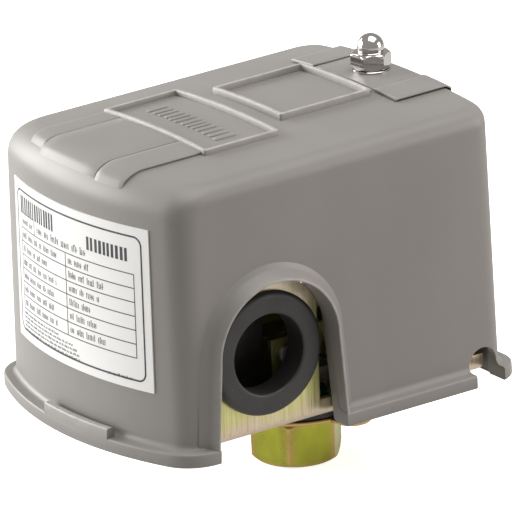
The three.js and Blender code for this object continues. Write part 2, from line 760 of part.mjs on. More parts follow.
function differentialStud() {
  return turned(
    [
      [0, BASE_Z - 0.5],
      [DIFF_STUD_R, BASE_Z - 0.5],
      [DIFF_STUD_R, BASE_TOP + 0.02],
      [3, BASE_TOP + 0.02],
      [3, BASE_TOP + 1],
      [DIFF_STUD_R, BASE_TOP + 1],
      [DIFF_STUD_R, DIFF_STUD_TOP - 0.5],
      [DIFF_STUD_R - 0.5, DIFF_STUD_TOP],
      [0, DIFF_STUD_TOP],
    ],
    DIFF_X,
    DIFF_Y,
    SMALL_SEGMENTS,
  );
}

const rangeSpring = () => spring(4.7, 0.75, [LEVER_TOP + 0.05, RANGE_SEAT_Z - 0.05], 7, 0, RANGE_Y);

const differentialSpring = () =>
  spring(4.8, 0.6, [LEVER_TOP + 0.05, DIFF_SEAT_Z - 0.05], 7, DIFF_X, DIFF_Y);

// A cupped washer that holds the top of a spring: plate above, short skirt round the coil.
function springSeat(outerR, holeR, z, x, y) {
  return turned(
    [
      [holeR, z],
      [outerR - 0.5, z],
      [outerR - 0.5, z - 1.4],
      [outerR, z - 1.4],
      [outerR, z + 1.5],
      [outerR - 0.6, z + 2],
      [holeR, z + 2],
      [holeR, z],
    ],
    x,
    y,
    SEGMENTS,
  );
}

const rangeSpringSeat = () => springSeat(5.4, STUD_R + 0.4, RANGE_SEAT_Z, 0, RANGE_Y);
const differentialSpringSeat = () => springSeat(5.4, DIFF_STUD_R + 0.4, DIFF_SEAT_Z, DIFF_X, DIFF_Y);

function adjustingNut(acrossFlats, boreR, z, x, y) {
  const corner = cornerRadius(acrossFlats);
  const chamfer = turned(
    [
      [0, z[0]],
      [corner - 0.7, z[0]],
      [corner, z[0] + 0.5],
      [corner, z[1] - 0.5],
      [corner - 0.7, z[1]],
      [0, z[1]],
    ],
    x,
    y,
    SEGMENTS,
  );
  const bore = rod(boreR, [z[0] - 1, z[1] + 1], x, y, SMALL_SEGMENTS);
  return cut(hexagon(acrossFlats, z, x, y).intersect(chamfer), bore);
}

const rangeNut = () =>
  adjustingNut(8, STUD_R + 0.15, [RANGE_SEAT_Z + 2.05, RANGE_SEAT_Z + 8], 0, RANGE_Y);

const differentialNut = () =>
  adjustingNut(8, DIFF_STUD_R + 0.15, [DIFF_SEAT_Z + 2.05, DIFF_SEAT_Z + 6.5], DIFF_X, DIFF_Y);

// ---- lever --------------------------------------------------------------------------------------
const LEVER_HALF_X = 11;
const YOKE_X = 15; // outer face of the yoke's cheeks

function operatingLever() {
  const plate = box([-LEVER_HALF_X, LEVER_HALF_X], [-19, 29.6], [LEVER_Z, LEVER_TOP]);
  const arm = box([LEVER_HALF_X - 1, 21], [12, 24], [LEVER_Z, LEVER_TOP]);
  const cheek = (side) => {
    const x = [side * (LEVER_HALF_X - SHEET), side * LEVER_HALF_X].sort((a, b) => a - b);
    return box(x, [-17, 6], [LEVER_Z, PIVOT_Z + 3.5]);
  };
  const z = [LEVER_Z - 1, LEVER_TOP + 1];
  return cut(
    join(plate, arm, cheek(1), cheek(-1)),
    rod(3.1, z, 0, RANGE_Y, SEGMENTS),
    rod(2.7, z, DIFF_X, DIFF_Y, SMALL_SEGMENTS),
    barX(PIVOT_R + 0.15, [-20, 20], PIVOT_Y, PIVOT_Z),
  );
}

function leverYoke() {
  const strip = box([-YOKE_X, YOKE_X], [-15.6, -9.9], [BASE_TOP + 0.02, BASE_TOP + 0.02 + SHEET]);
  const cheek = (side) => {
    const x = [side * (YOKE_X - SHEET), side * YOKE_X].sort((a, b) => a - b);
    return box(x, [-16, -8], [BASE_TOP + 0.02, PIVOT_Z + 4]);
  };
  return cut(join(strip, cheek(1), cheek(-1)), barX(PIVOT_R + 0.1, [-20, 20], PIVOT_Y, PIVOT_Z));
}

function leverPivotPin() {
  const shank = barX(PIVOT_R, [-YOKE_X - 1.2, YOKE_X + 1], PIVOT_Y, PIVOT_Z);
  return join(shank, barX(PIVOT_R + 0.9, [YOKE_X + 0.1, YOKE_X + 1.2], PIVOT_Y, PIVOT_Z));
}

// ---- contact block ------------------------------------------------------------------------------
const BLOCK_WALL = 1.6;
const PLATE_T = 1.2;
const PLATE_HALF_X = 3.6;
const PLATE_TOP = BLOCK_TOP + 0.05 + PLATE_T;
const FIXED_CONTACT_TOP = PLATE_TOP + 0.8;
const BRIDGE_Z = FIXED_CONTACT_TOP + 0.95; // underside of the moving bridges
const BRIDGE_TOP = BRIDGE_Z + 1;
const CROSSBAR_Z = 42.5;

function contactBlock() {
  const x = [-BLOCK_HALF_X, BLOCK_HALF_X];
  const slab = box(x, [BLOCK_FRONT_Y, BLOCK_BACK_Y], [BASE_TOP + 0.02, BLOCK_TOP]);
  const pocketX = [-BLOCK_HALF_X + 2.5, BLOCK_HALF_X - 2.5];
  const pocket = box(pocketX, [BLOCK_FRONT_Y + 2.5, BLOCK_BACK_Y - 2], [BASE_Z, 29.5]);
  const barriers = [-20.2, -10, 0, 10, 20.2].map((at) => {
    const thick = [at - BLOCK_WALL / 2, at + BLOCK_WALL / 2];
    return box(thick, [BLOCK_FRONT_Y, CHAMBER_FRONT_Y], [BLOCK_TOP - 1, 43]);
  });
  const chamber = box(x, [CHAMBER_FRONT_Y, BLOCK_BACK_Y], [BLOCK_TOP - 1, CHAMBER_TOP]);
  const innerX = [-BLOCK_HALF_X + BLOCK_WALL, BLOCK_HALF_X - BLOCK_WALL];
  const innerY = [CHAMBER_FRONT_Y + 1.4, BLOCK_BACK_Y - 1.4];
  const hollow = box(innerX, innerY, [BLOCK_TOP, CHAMBER_TOP + 1]);
  const divider = box([-0.8, 0.8], [innerY[0] - 0.5, innerY[1] + 0.5], [BLOCK_TOP - 1, 40.5]);
  const window = box([-4.5, 4.5], [BLOCK_BACK_Y - 3, BLOCK_BACK_Y + 1], [41, CHAMBER_TOP + 1]);
  const slots = POLE_X.map((at) => {
    const wide = [at - PLATE_HALF_X - 0.2, at + PLATE_HALF_X + 0.2];
    return box(wide, [CHAMBER_FRONT_Y - 1, CHAMBER_FRONT_Y + 2], [BLOCK_TOP, PLATE_TOP + 0.3]);
  });
  const screwHoles = POLE_X.map((at) => rod(2.1, [28, 36], at, TERMINAL_Y, SMALL_SEGMENTS));
  const lug = (side) => {
    const reach = [side * (BLOCK_HALF_X - 1), side * 27.4].sort((a, b) => a - b);
    return box(reach, [-45, -37], [BASE_TOP + 0.02, 26]);
  };
  const lugHole = ([x, y]) => rod(M3_R + 0.2, [20, 28], x, y, SMALL_SEGMENTS);
  const lugHoles = Object.values(BLOCK_SCREWS).map(lugHole);
  const solidPart = join(cut(join(slab, chamber), hollow), divider, lug(1), lug(-1), ...barriers);
  return cut(solidPart, pocket, window, ...slots, ...screwHoles, ...lugHoles);
}

function arcShield() {
  const z = [CHAMBER_TOP + 0.02, CHAMBER_TOP + 0.8];
  const sheet = box([-BLOCK_HALF_X, BLOCK_HALF_X], [CHAMBER_FRONT_Y, BLOCK_BACK_Y], z);
  const apronY = [CHAMBER_FRONT_Y - 0.82, CHAMBER_FRONT_Y - 0.02];
  const apron = box([-BLOCK_HALF_X, BLOCK_HALF_X], apronY, [43.2, z[1]]);
  const cornerFill = box([-BLOCK_HALF_X, BLOCK_HALF_X], [CHAMBER_FRONT_Y - 0.82, CHAMBER_FRONT_Y + 1], z);
  return join(sheet, apron, cornerFill);
}

// A brass strip from a terminal screw at the front to a fixed contact in the chamber.
function terminalPlate(x) {
  const strip = box([x - PLATE_HALF_X, x + PLATE_HALF_X], [-50, -25.5], [BLOCK_TOP + 0.05, PLATE_TOP]);
  const contact = rod(2, [PLATE_TOP - 0.5, FIXED_CONTACT_TOP], x, CONTACT_Y, SMALL_SEGMENTS);
  const hole = rod(2.1, [BLOCK_TOP - 1, PLATE_TOP + 1], x, TERMINAL_Y, SMALL_SEGMENTS);
  return cut(join(strip, contact), hole);
}

// A terminal screw with its captive square clamp.
function terminalScrew(x) {
  const clampZ = [PLATE_TOP + 0.05, PLATE_TOP + 1.1];
  const clamp = box([x - 3.3, x + 3.3], [TERMINAL_Y - 3.6, TERMINAL_Y + 3.6], clampZ);
  const at = [x, TERMINAL_Y];
  return join(panScrew({ at, z: clampZ[1] - 0.05, headR: 3.2, headH: 2.4, shankR: 1.8, length: 5 }), clamp);
}

// The moving bar: crossbar, drive tab towards the lever, and one stem through each bridge.
function contactCarrier() {
  const bar = box([-17.5, 17.5], [CONTACT_Y - 2.5, CONTACT_Y + 2.5], [CROSSBAR_Z, CROSSBAR_Z + 3.5]);
  const tab = box([-3.2, 3.2], [CONTACT_Y + 2, BLOCK_BACK_Y + 1.2], [CROSSBAR_Z + 0.4, CROSSBAR_Z + 3]);
  const stems = Object.values(BRIDGE_X).map((x) => {
    const stem = rod(1, [PLATE_TOP + 0.4, CROSSBAR_Z + 1], x, CONTACT_Y, SMALL_SEGMENTS);
    return join(stem, rod(1.25, [PLATE_TOP + 0.4, PLATE_TOP + 1], x, CONTACT_Y, SMALL_SEGMENTS));
  });
  return join(bar, tab, ...stems);
}

// A copper bar that joins two fixed contacts when the switch is closed.
function contactBridge(x) {
  const bar = box([x - 7, x + 7], [CONTACT_Y - 2.3, CONTACT_Y + 2.3], [BRIDGE_Z, BRIDGE_TOP]);
  const pads = [x - 5, x + 5].map((at) =>
    rod(1.8, [FIXED_CONTACT_TOP + 0.1, BRIDGE_Z + 0.5], at, CONTACT_Y, SMALL_SEGMENTS),
  );
  return cut(join(bar, ...pads), rod(1.45, [BRIDGE_Z - 2, BRIDGE_TOP + 1], x, CONTACT_Y, SMALL_SEGMENTS));
}

const contactSpring = (x) =>
  spring(2.6, 0.3, [BRIDGE_TOP + 0.05, CROSSBAR_Z - 0.05], 4, x, CONTACT_Y);

// The bowed leaf that snaps the carrier over: a strip bent round in the YZ plane.
function toggleSpring() {
  const foot = BLOCK_BACK_Y + 1.8;
  const path = new THREE.CatmullRomCurve3([
    new THREE.Vector3(0, foot, CROSSBAR_Z + 1.6),
    new THREE.Vector3(0, foot + 4, CROSSBAR_Z + 3.4),
    new THREE.Vector3(0, foot + 9, CROSSBAR_Z - 1),
    new THREE.Vector3(0, foot + 7, CROSSBAR_Z - 6.5),
    new THREE.Vector3(0, foot + 2, CROSSBAR_Z - 7.5),
  ]);
  const strip = new THREE.Shape([
    new THREE.Vector2(-0.25, -2.5),
    new THREE.Vector2(0.25, -2.5),
    new THREE.Vector2(0.25, 2.5),
    new THREE.Vector2(-0.25, 2.5),
  ]);
  return solid(
    new THREE.ExtrudeGeometry(strip, { extrudePath: path, steps: 16, bevelEnabled: false }),
  );
}

// ---- assembly -----------------------------------------------------------------------------------
const assembly = new THREE.Group();
assembly.position.y = PORT_Y;

function place(name, manifold, material) {
  const mesh = new THREE.Mesh(geometryOf(mainBody(manifold)), material());
  mesh.name = name;
  assembly.add(mesh);
}

place("cover", cover(), materials.cover);
place("rating_label", ratingLabel(), materials.label);
place("cap_nut", capNut(), materials.nickel);
place("cap_washer", capWasher(), materials.nickel);
place("base_bracket", baseBracket(), materials.chromate);
place("grommet_right", grommet(1), materials.rubber);
place("grommet_left", grommet(-1), materials.rubber);
place("port_fitting", portFitting(), materials.olive);
place("flange_plate", flangePlate(), materials.olive);
place("diaphragm", diaphragm(), materials.rubber);
place("piston_guide", pistonGuide(), materials.phenolic);
place("piston", piston(), materials.nylon);
flangeBolts().forEach((at, i) => place(`flange_screw_${i + 1}`, flangeScrew(at), materials.zinc));
place("range_stud", rangeStud(), materials.zinc);
place("range_spring", rangeSpring(), materials.springSteel);
place("range_spring_seat", rangeSpringSeat(), materials.zinc);
place("range_nut", rangeNut(), materials.zinc);
place("differential_stud", differentialStud(), materials.zinc);
place("differential_spring", differentialSpring(), materials.springSteel);
place("differential_spring_seat", differentialSpringSeat(), materials.zinc);
place("differential_nut", differentialNut(), materials.zinc);
place("operating_lever", operatingLever(), materials.chromate);
place("lever_pivot_pin", leverPivotPin(), materials.zinc);
place("lever_yoke", leverYoke(), materials.chromate);
place("contact_block", contactBlock(), materials.phenolic);
place("arc_shield", arcShield(), materials.fibre);
POLE_X.forEach((x, i) => place(`terminal_plate_${i + 1}`, terminalPlate(x), materials.brass));
POLE_X.forEach((x, i) => place(`terminal_screw_${i + 1}`, terminalScrew(x), materials.zinc));
place("contact_carrier", contactCarrier(), materials.nylon);
place("toggle_spring", toggleSpring(), materials.springSteel);
for (const [side, x] of Object.entries(BRIDGE_X)) {
  place(`contact_bridge_${side}`, contactBridge(x), materials.copper);
  place(`contact_spring_${side}`, contactSpring(x), materials.springSteel);
}
for (const [side, at] of Object.entries(BLOCK_SCREWS)) {
  place(`block_screw_${side}`, blockScrew(at), materials.zinc);
}
for (const [side, at] of Object.entries(GROUND_SCREWS)) {
  place(`ground_screw_${side}`, groundScrew(at), materials.green);
}

export default assembly;
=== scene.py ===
"""Looks of the diaphragm pressure switch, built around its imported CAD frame.

Lengths are written in millimetres about the pressure port's axis and are turned into metres of the
frame by Shape.mesh, so X and Y are measured from the port and Z from its bottom face.
"""
import json
import math
import random

import bmesh
import bpy
from mathutils import Matrix, Vector


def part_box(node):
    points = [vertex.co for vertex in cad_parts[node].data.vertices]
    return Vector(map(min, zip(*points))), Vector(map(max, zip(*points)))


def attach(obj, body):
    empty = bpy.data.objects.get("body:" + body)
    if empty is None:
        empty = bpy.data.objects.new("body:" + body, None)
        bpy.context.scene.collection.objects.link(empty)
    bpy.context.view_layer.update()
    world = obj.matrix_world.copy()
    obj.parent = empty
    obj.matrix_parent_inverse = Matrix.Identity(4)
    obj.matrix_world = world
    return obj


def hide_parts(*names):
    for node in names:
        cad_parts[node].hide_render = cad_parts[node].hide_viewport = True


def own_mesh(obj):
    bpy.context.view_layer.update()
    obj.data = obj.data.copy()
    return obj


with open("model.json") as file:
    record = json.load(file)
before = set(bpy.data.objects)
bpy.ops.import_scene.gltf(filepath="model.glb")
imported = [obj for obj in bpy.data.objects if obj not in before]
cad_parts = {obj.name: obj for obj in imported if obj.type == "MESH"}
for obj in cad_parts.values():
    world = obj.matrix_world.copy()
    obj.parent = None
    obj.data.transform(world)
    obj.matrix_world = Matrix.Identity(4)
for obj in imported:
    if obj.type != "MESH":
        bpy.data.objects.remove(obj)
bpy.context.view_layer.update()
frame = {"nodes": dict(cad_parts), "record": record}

MM = 0.001
record = frame["record"]
slot_of = {part["node"]: part["material_slot"] for part in record["subparts"]}
body_of = {node: body for body, nodes in record["behaviour"]["bodies"].items() for node in nodes}

port_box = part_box("port_fitting")
port_y = (port_box[0].y + port_box[1].y) / 2


def box_mm(node):
    """A CAD node's lowest and highest corners in millimetres about the port's axis."""
    shift = Vector((0, port_y, 0))
    return [(corner - shift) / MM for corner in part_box(node)]


def centre_mm(node):
    low, high = box_mm(node)
    return (low + high) / 2


def place_mm(node):
    return (*box_mm(node), centre_mm(node))


def radians(degrees):
    return math.radians(degrees)


# ---- driving sizes -----------------------------------------------------------------------------
cover_low, cover_high = box_mm("cover")
WALL = 2
FLANGE_OUT = 3  # how far the flange stands out of the wall
FLANGE_H = 3.1
FLANGE_Z = cover_low.z
SIDE_X = cover_high.x - FLANGE_OUT
FRONT_Y = cover_low.y + FLANGE_OUT
BACK_Y = cover_high.y - FLANGE_OUT
BOW_R = 85  # plan radius of the bowed front
FRONT_CORNER_R = 7
BACK_CORNER_R = 4.5
DRAFT = math.tan(radians(1))
TOP_Z = FLANGE_Z + 62.7  # height of the top face's ridge at TOP_FRONT_Y
TOP_FRONT_Y = -45
TOP_RISE = 0.0235
TOP_CROWN_R = 263  # the top face is bowed from side to side
FRONT_TOP_R = 7.4
SIDE_TOP_R = 3.9
BACK_TOP_R = 2.4
CROWN_H = 13  # height of the zone that holds the roundings, the tilt and the bow

ARCH_Y = -29.3  # arched cable opening
ARCH_Z = 42.6
ARCH_R = 15.3
ARCH_FOOT = 16.9
COLLAR_FLARE = 2.3

NOTCH_Y = 26.6
NOTCH_Z = 24.8
NOTCH_R = 3.9

nut_centre = centre_mm("cap_nut")
RANGE_Y = nut_centre.y


# ---- mesh building -----------------------------------------------------------------------------
class Shape:
    """Points, faces and a painted-highlight value for each point, gathered from several closed or open parts.
    """

    def __init__(self):
        self.points = []
        self.faces = []
        self.painted_highlight = []

    def grid(self, rows, ring=False, caps=True, painted_highlight=None):
        """Quads between closed rows of points; ring joins the last row to the first."""
        start = len(self.points)
        size = len(rows[0])
        for r, row in enumerate(rows):
            self.points += [tuple(point) for point in row]
            self.painted_highlight += [painted_highlight[r] if painted_highlight else 0.0] * size
        row_count = len(rows) if ring else len(rows) - 1
        for r in range(row_count):
            for c in range(size):
                here = start + r * size
                there = start + (r + 1) % len(rows) * size
                after = (c + 1) % size
                self.faces.append((here + c, here + after, there + after, there + c))
        if caps and not ring:
            last = start + (len(rows) - 1) * size
            self.faces.append(tuple(range(start + size - 1, start - 1, -1)))
            self.faces.append(tuple(range(last, last + size)))
        return self

    def highlit_grid(self, rows, row_highlight):
        """A grid whose rows all carry the same painted-highlight values, one for each point of a row."""
        start = len(self.painted_highlight)
        self.grid(rows)
        self.painted_highlight[start:] = row_highlight * len(rows)

    def lathe(self, profile, x=0, y=0, steps=48, axis="z", closed=False, painted_highlight=None):
        """Turns a profile of (radius, height) pairs about a vertical axis, or one along X."""
        rows = []
        for radius, height in profile:
            row = []
            for k in range(steps):
                angle = 2 * math.pi * k / steps
                across, up = radius * math.cos(angle), radius * math.sin(angle)
                if axis == "z":
                    row.append((x + across, y + up, height))
                else:
                    row.append((height, x + across, y + up))
            rows.append(row)
        return self.grid(rows, ring=closed, caps=not closed, painted_highlight=painted_highlight)

    def mesh(self, name):
        mesh = bpy.data.meshes.new(name)
        points = [(x * MM, y * MM + port_y, z * MM) for x, y, z in self.points]
        mesh.from_pydata(points, [], self.faces)
        # per-point painted highlight: the materials make these points paler, as if the light caught them
        painted_highlight = mesh.attributes.new("painted_highlight", "FLOAT", "POINT")
        painted_highlight.data.foreach_set("value", self.painted_highlight)
        work = bmesh.new()
        work.from_mesh(mesh)
        bmesh.ops.recalc_face_normals(work, faces=work.faces)
        work.to_mesh(mesh)
        work.free()
        return mesh


def smooth(mesh, angle=32):
    mesh.polygons.foreach_set("use_smooth", [True] * len(mesh.polygons))
    mesh.set_sharp_from_angle(angle=radians(angle))


def add_object(name, mesh):
    obj = bpy.data.objects.new(name, mesh)
    bpy.context.scene.collection.objects.link(obj)
    return obj


def carve(mesh, cutters):
    """The mesh with each cutter shape taken out of it."""
    for cutter in cutters:
        body = add_object("carve_body", mesh)
        tool = add_object("carve_tool", cutter.mesh("carve_tool"))
        step = body.modifiers.new("carve", "BOOLEAN")
        step.operation = "DIFFERENCE"
        step.solver = "EXACT"
        step.object = tool
        graph = bpy.context.evaluated_depsgraph_get()
        mesh = bpy.data.meshes.new_from_object(body.evaluated_get(graph))
        bpy.data.objects.remove(body)
        bpy.data.objects.remove(tool)
    return mesh


def merge_meshes(name, *meshes):
    work = bmesh.new()
    for mesh in meshes:
        work.from_mesh(mesh)
    merged = bpy.data.meshes.new(name)
    work.to_mesh(merged)
    work.free()
    return merged


def piece(name, mesh, node, angle=32):
    """A finished piece that stands for a CAD node: it takes that node's body, slot and material."""
    smooth(mesh, angle)
    mesh.materials.clear()
    mesh.materials.append(material_for(slot_of[node]))
    obj = add_object(name, mesh)
    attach(obj, body_of[node])
    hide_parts(node)
    return obj


def blend_step(t):
    t = min(1.0, max(0.0, t))
    return t * t * (3 - 2 * t)


def between(a, b, t):
    return a + (b - a) * t


# ---- materials ---------------------------------------------------------------------------------
class Nodes:
    """Short calls for building one material's node tree."""

    def __init__(self, name):
        self.material = bpy.data.materials.new(name)
        self.material.use_nodes = True
        self.tree = self.material.node_tree
        self.shader = self.tree.nodes["Principled BSDF"]
        self.place = self.tree.nodes.new("ShaderNodeTexCoord").outputs["Object"]

    def link(self, source, target):
        self.tree.links.new(source, target)

    def scaled(self, stretch):
        mapping = self.tree.nodes.new("ShaderNodeMapping")
        mapping.inputs["Scale"].default_value = stretch
        self.link(self.place, mapping.inputs["Vector"])
        return mapping.outputs["Vector"]

    def noise(self, scale, stretch=(1, 1, 1), detail=3, rough=0.55):
        """Noise whose features are about 1 / scale metres across."""
        node = self.tree.nodes.new("ShaderNodeTexNoise")
        node.inputs["Scale"].default_value = scale
        node.inputs["Detail"].default_value = detail
        node.inputs["Roughness"].default_value = rough
        self.link(self.scaled(stretch), node.inputs["Vector"])
        return node.outputs["Fac"]

    def speckle(self, scale, size):
        """1 in small dots, 0 elsewhere."""
        node = self.tree.nodes.new("ShaderNodeTexVoronoi")
        node.inputs["Scale"].default_value = scale
        self.link(self.place, node.inputs["Vector"])
        return self.ramp(node.outputs["Distance"], size * 0.6, size, 1, 0)

    def ramp(self, source, low, high, to_low=0, to_high=1):
        node = self.tree.nodes.new("ShaderNodeMapRange")
        node.inputs["From Min"].default_value = low
        node.inputs["From Max"].default_value = high
        node.inputs["To Min"].default_value = to_low
        node.inputs["To Max"].default_value = to_high
        self.link(source, node.inputs["Value"])
        return node.outputs["Result"]

    def maths(self, operation, first, second):
        node = self.tree.nodes.new("ShaderNodeMath")
        node.operation = operation
        for socket, value in zip(node.inputs, (first, second)):
            if isinstance(value, (int, float)):
                socket.default_value = value
            else:
                self.link(value, socket)
        return node.outputs["Value"]

    def mix(self, factor, first, second):
        node = self.tree.nodes.new("ShaderNodeMix")
        node.data_type = "RGBA"
        if isinstance(factor, (int, float)):
            node.inputs["Factor"].default_value = factor
        else:
            self.link(factor, node.inputs["Factor"])
        for key, value in (("A", first), ("B", second)):
            socket = [s for s in node.inputs if s.name == key and s.type == "RGBA"][0]
            if isinstance(value, tuple):
                socket.default_value = (*value, 1)
            else:
                self.link(value, socket)
        return [s for s in node.outputs if s.type == "RGBA"][0]

    def attribute(self, name):
        node = self.tree.nodes.new("ShaderNodeAttribute")
        node.attribute_name = name
        return node.outputs["Fac"]

    def axis(self, name):
        node = self.tree.nodes.new("ShaderNodeSeparateXYZ")
        self.link(self.place, node.inputs[0])
        return node.outputs[name]

    def bump(self, source, height_mm):
        node = self.tree.nodes.new("ShaderNodeBump")
        node.inputs["Distance"].default_value = height_mm * MM
        node.inputs["Strength"].default_value = 1.0
        self.link(source, node.inputs["Height"])
        if self.shader.inputs["Normal"].is_linked:
            self.link(self.shader.inputs["Normal"].links[0].from_socket, node.inputs["Normal"])
        self.link(node.outputs["Normal"], self.shader.inputs["Normal"])

    def set(self, **values):
        for name, value in values.items():
            socket = self.shader.inputs[name.replace("_", " ")]
            if isinstance(value, tuple):
                socket.default_value = (*value, 1)
            elif isinstance(value, (int, float)):
                socket.default_value = value
            else:
                self.link(value, socket)
        return self.material


def cover_plastic(n):
    """Moulded semi-gloss plastic: faint flow marks, a painted highlight that makes rims and raised edges
    paler, dust specks and fine scuffs.
    """
    flow = n.ramp(n.noise(28, (1, 1, 0.5)), 0.35, 0.65)
    colour = n.mix(flow, (0.232, 0.219, 0.202), (0.254, 0.240, 0.222))
    # painted highlight: rims and raised edges turn paler, where the light catches them
    painted_edge_light = n.maths("MULTIPLY", n.attribute("painted_highlight"), n.ramp(n.noise(420), 0.3, 0.6, 0.5, 1))
    colour = n.mix(painted_edge_light, colour, (0.42, 0.40, 0.38))
    dust = n.maths("MULTIPLY", n.speckle(330, 0.07), n.ramp(n.noise(60), 0.54, 0.6))
    colour = n.mix(n.maths("MULTIPLY", dust, 0.3), colour, (0.42, 0.40, 0.38))
    n.bump(n.noise(900, detail=2), 0.004)
    rough = n.ramp(n.noise(60), 0.3, 0.7, 0.40, 0.46)
    return n.set(Base_Color=colour, Roughness=rough, Specular_IOR_Level=0.36)


def label_sheet(n):
    """White vinyl with a slight unevenness from its glue."""
    tint = n.mix(n.noise(70), (0.76, 0.75, 0.725), (0.80, 0.795, 0.775))
    n.bump(n.noise(160, detail=1), 0.012)
    return n.set(Base_Color=tint, Roughness=n.ramp(n.noise(200), 0.3, 0.7, 0.38, 0.5))


def printed_ink(n):
    tone = n.mix(n.noise(900), (0.020, 0.021, 0.026), (0.045, 0.046, 0.055))
    return n.set(Base_Color=tone, Roughness=n.ramp(n.noise(300), 0.3, 0.7, 0.4, 0.55))


def yellow_zinc(n):
    """Yellow chromate on drawn sheet: a painted pink-beige highlight low down by the folds, greener above,
    upright streaks.
    """
    streaks = n.noise(1500, (1, 1, 0.03), detail=4, rough=0.7)
    patches = n.noise(60, (1, 1, 0.6), detail=2)
    wander = n.maths("MULTIPLY", n.maths("SUBTRACT", patches, 0.5), 14 * MM)
    height = n.maths("ADD", n.axis("Z"), wander)
    above_fold = n.ramp(height, 23.5 * MM, 27.5 * MM)
    # painted highlight: pink-beige below the fold line, standing for the lit fold band
    colour = n.mix(above_fold, (0.62, 0.49, 0.38), (0.58, 0.55, 0.22))
    near_top = n.ramp(height, 46 * MM, 53 * MM)
    colour = n.mix(near_top, colour, (0.66, 0.56, 0.41))
    colour = n.mix(n.ramp(streaks, 0.50, 0.72), colour, (0.70, 0.64, 0.50))
    colour = n.mix(n.ramp(streaks, 0.46, 0.30, 0, 0.55), colour, (0.30, 0.29, 0.10))
    n.bump(streaks, 0.03)
    rough = n.ramp(streaks, 0.3, 0.7, 0.26, 0.46)
    return n.set(Base_Color=colour, Metallic=0.85, Roughness=rough)


def olive_zinc(n):
    """Iridescent green-yellow chromate, with a painted pinkish highlight on rounded edges."""
    patches = n.noise(110, (1, 1, 0.7), detail=2)
    colour = n.mix(n.ramp(patches, 0.35, 0.65), (0.30, 0.29, 0.045), (0.50, 0.52, 0.055))
    # painted highlight: rounded edges turn pinkish, as the lit edge looks
    edge = n.maths("MULTIPLY", n.attribute("painted_highlight"), n.ramp(n.noise(260), 0.25, 0.6, 0.6, 1))
    colour = n.mix(edge, colour, (0.62, 0.36, 0.17))
    n.bump(n.noise(1500, (1, 1, 0.1)), 0.004)
    rough = n.ramp(n.noise(240), 0.3, 0.7, 0.24, 0.38)
    return n.set(Base_Color=colour, Metallic=0.85, Roughness=rough)


def moulded_rubber(n):
    tone = n.mix(n.noise(120), (0.016, 0.015, 0.0145), (0.03, 0.028, 0.027))
    lint = n.maths("MULTIPLY", n.speckle(700, 0.12), n.ramp(n.noise(90), 0.52, 0.62))
    tone = n.mix(n.maths("MULTIPLY", lint, 0.35), tone, (0.35, 0.33, 0.31))
    n.bump(n.noise(1600, detail=2), 0.012)
    return n.set(Base_Color=tone, Roughness=n.ramp(n.noise(160), 0.3, 0.7, 0.42, 0.62))


def natural_nylon(n):
    tone = n.mix(n.noise(150), (0.62, 0.58, 0.47), (0.72, 0.69, 0.58))
    n.bump(n.noise(900), 0.01)
    rough = n.ramp(n.noise(260), 0.3, 0.7, 0.4, 0.55)
    return n.set(Base_Color=tone, Roughness=rough, Subsurface_Weight=0.08, Subsurface_Scale=0.001)


def vulcanised_fibre(n):
    fibres = n.noise(700, (0.12, 1, 1), detail=4, rough=0.7)
    tone = n.mix(fibres, (0.075, 0.045, 0.028), (0.20, 0.13, 0.085))
    n.bump(fibres, 0.03)
    return n.set(Base_Color=tone, Roughness=n.ramp(fibres, 0.3, 0.7, 0.62, 0.85))


EVEN = (1, 1, 1)
# Even finishes. colours: the two tones and the scale and detail of the noise that mixes them.
# grain: scale, detail, stretch and height in mm of the bump. gloss: noise scale and the roughness range.
EVEN_FINISHES = {
    "nickel_plate": {
        "colours": ((0.42, 0.395, 0.37), (0.54, 0.515, 0.49), 300, 3), "metal": 1.0,
        "grain": (700, 2, EVEN, 0.003), "gloss": (500, 0.07, 0.16),
    },
    "zinc_plate": {
        "colours": ((0.46, 0.47, 0.49), (0.62, 0.63, 0.64), 240, 4), "metal": 1.0,
        "grain": (1300, 3, EVEN, 0.008), "gloss": (420, 0.24, 0.42),
    },
    "spring_steel": {
        "colours": ((0.30, 0.29, 0.28), (0.47, 0.46, 0.45), 500, 4), "metal": 1.0,
        "grain": (1800, 3, EVEN, 0.006), "gloss": (600, 0.22, 0.38),
    },
    "brass": {
        "colours": ((0.62, 0.42, 0.13), (0.74, 0.54, 0.22), 300, 4), "metal": 1.0,
        "grain": (1400, 3, (0.1, 1, 1), 0.006), "gloss": (400, 0.22, 0.4),
    },
    "copper": {
        "colours": ((0.55, 0.26, 0.14), (0.70, 0.38, 0.24), 300, 4), "metal": 1.0,
        "grain": (1400, 3, (1, 0.1, 1), 0.006), "gloss": (400, 0.24, 0.42),
    },
    "green_zinc": {
        "colours": ((0.025, 0.20, 0.065), (0.07, 0.36, 0.14), 220, 4), "metal": 0.6,
        "grain": (1300, 3, EVEN, 0.008), "gloss": (420, 0.28, 0.45),
    },
}


def even_finish(n, colours, metal, grain, gloss):
    low, high, scale, detail = colours
    tone = n.mix(n.noise(scale, detail=detail), low, high)
    scale, detail, stretch, height = grain
    n.bump(n.noise(scale, stretch, detail), height)
    scale, smoothest, roughest = gloss
    rough = n.ramp(n.noise(scale), 0.3, 0.7, smoothest, roughest)
    return n.set(Base_Color=tone, Metallic=metal, Roughness=rough)


def black_phenolic(n):
    """Compression-moulded black: faint brown mottling and a fine orange-peel skin."""
    mottle = n.ramp(n.noise(260, detail=4), 0.4, 0.7)
    tone = n.mix(mottle, (0.018, 0.016, 0.015), (0.045, 0.036, 0.030))
    n.bump(n.noise(1200, detail=2), 0.012)
    return n.set(Base_Color=tone, Roughness=n.ramp(n.noise(200), 0.3, 0.7, 0.32, 0.5))


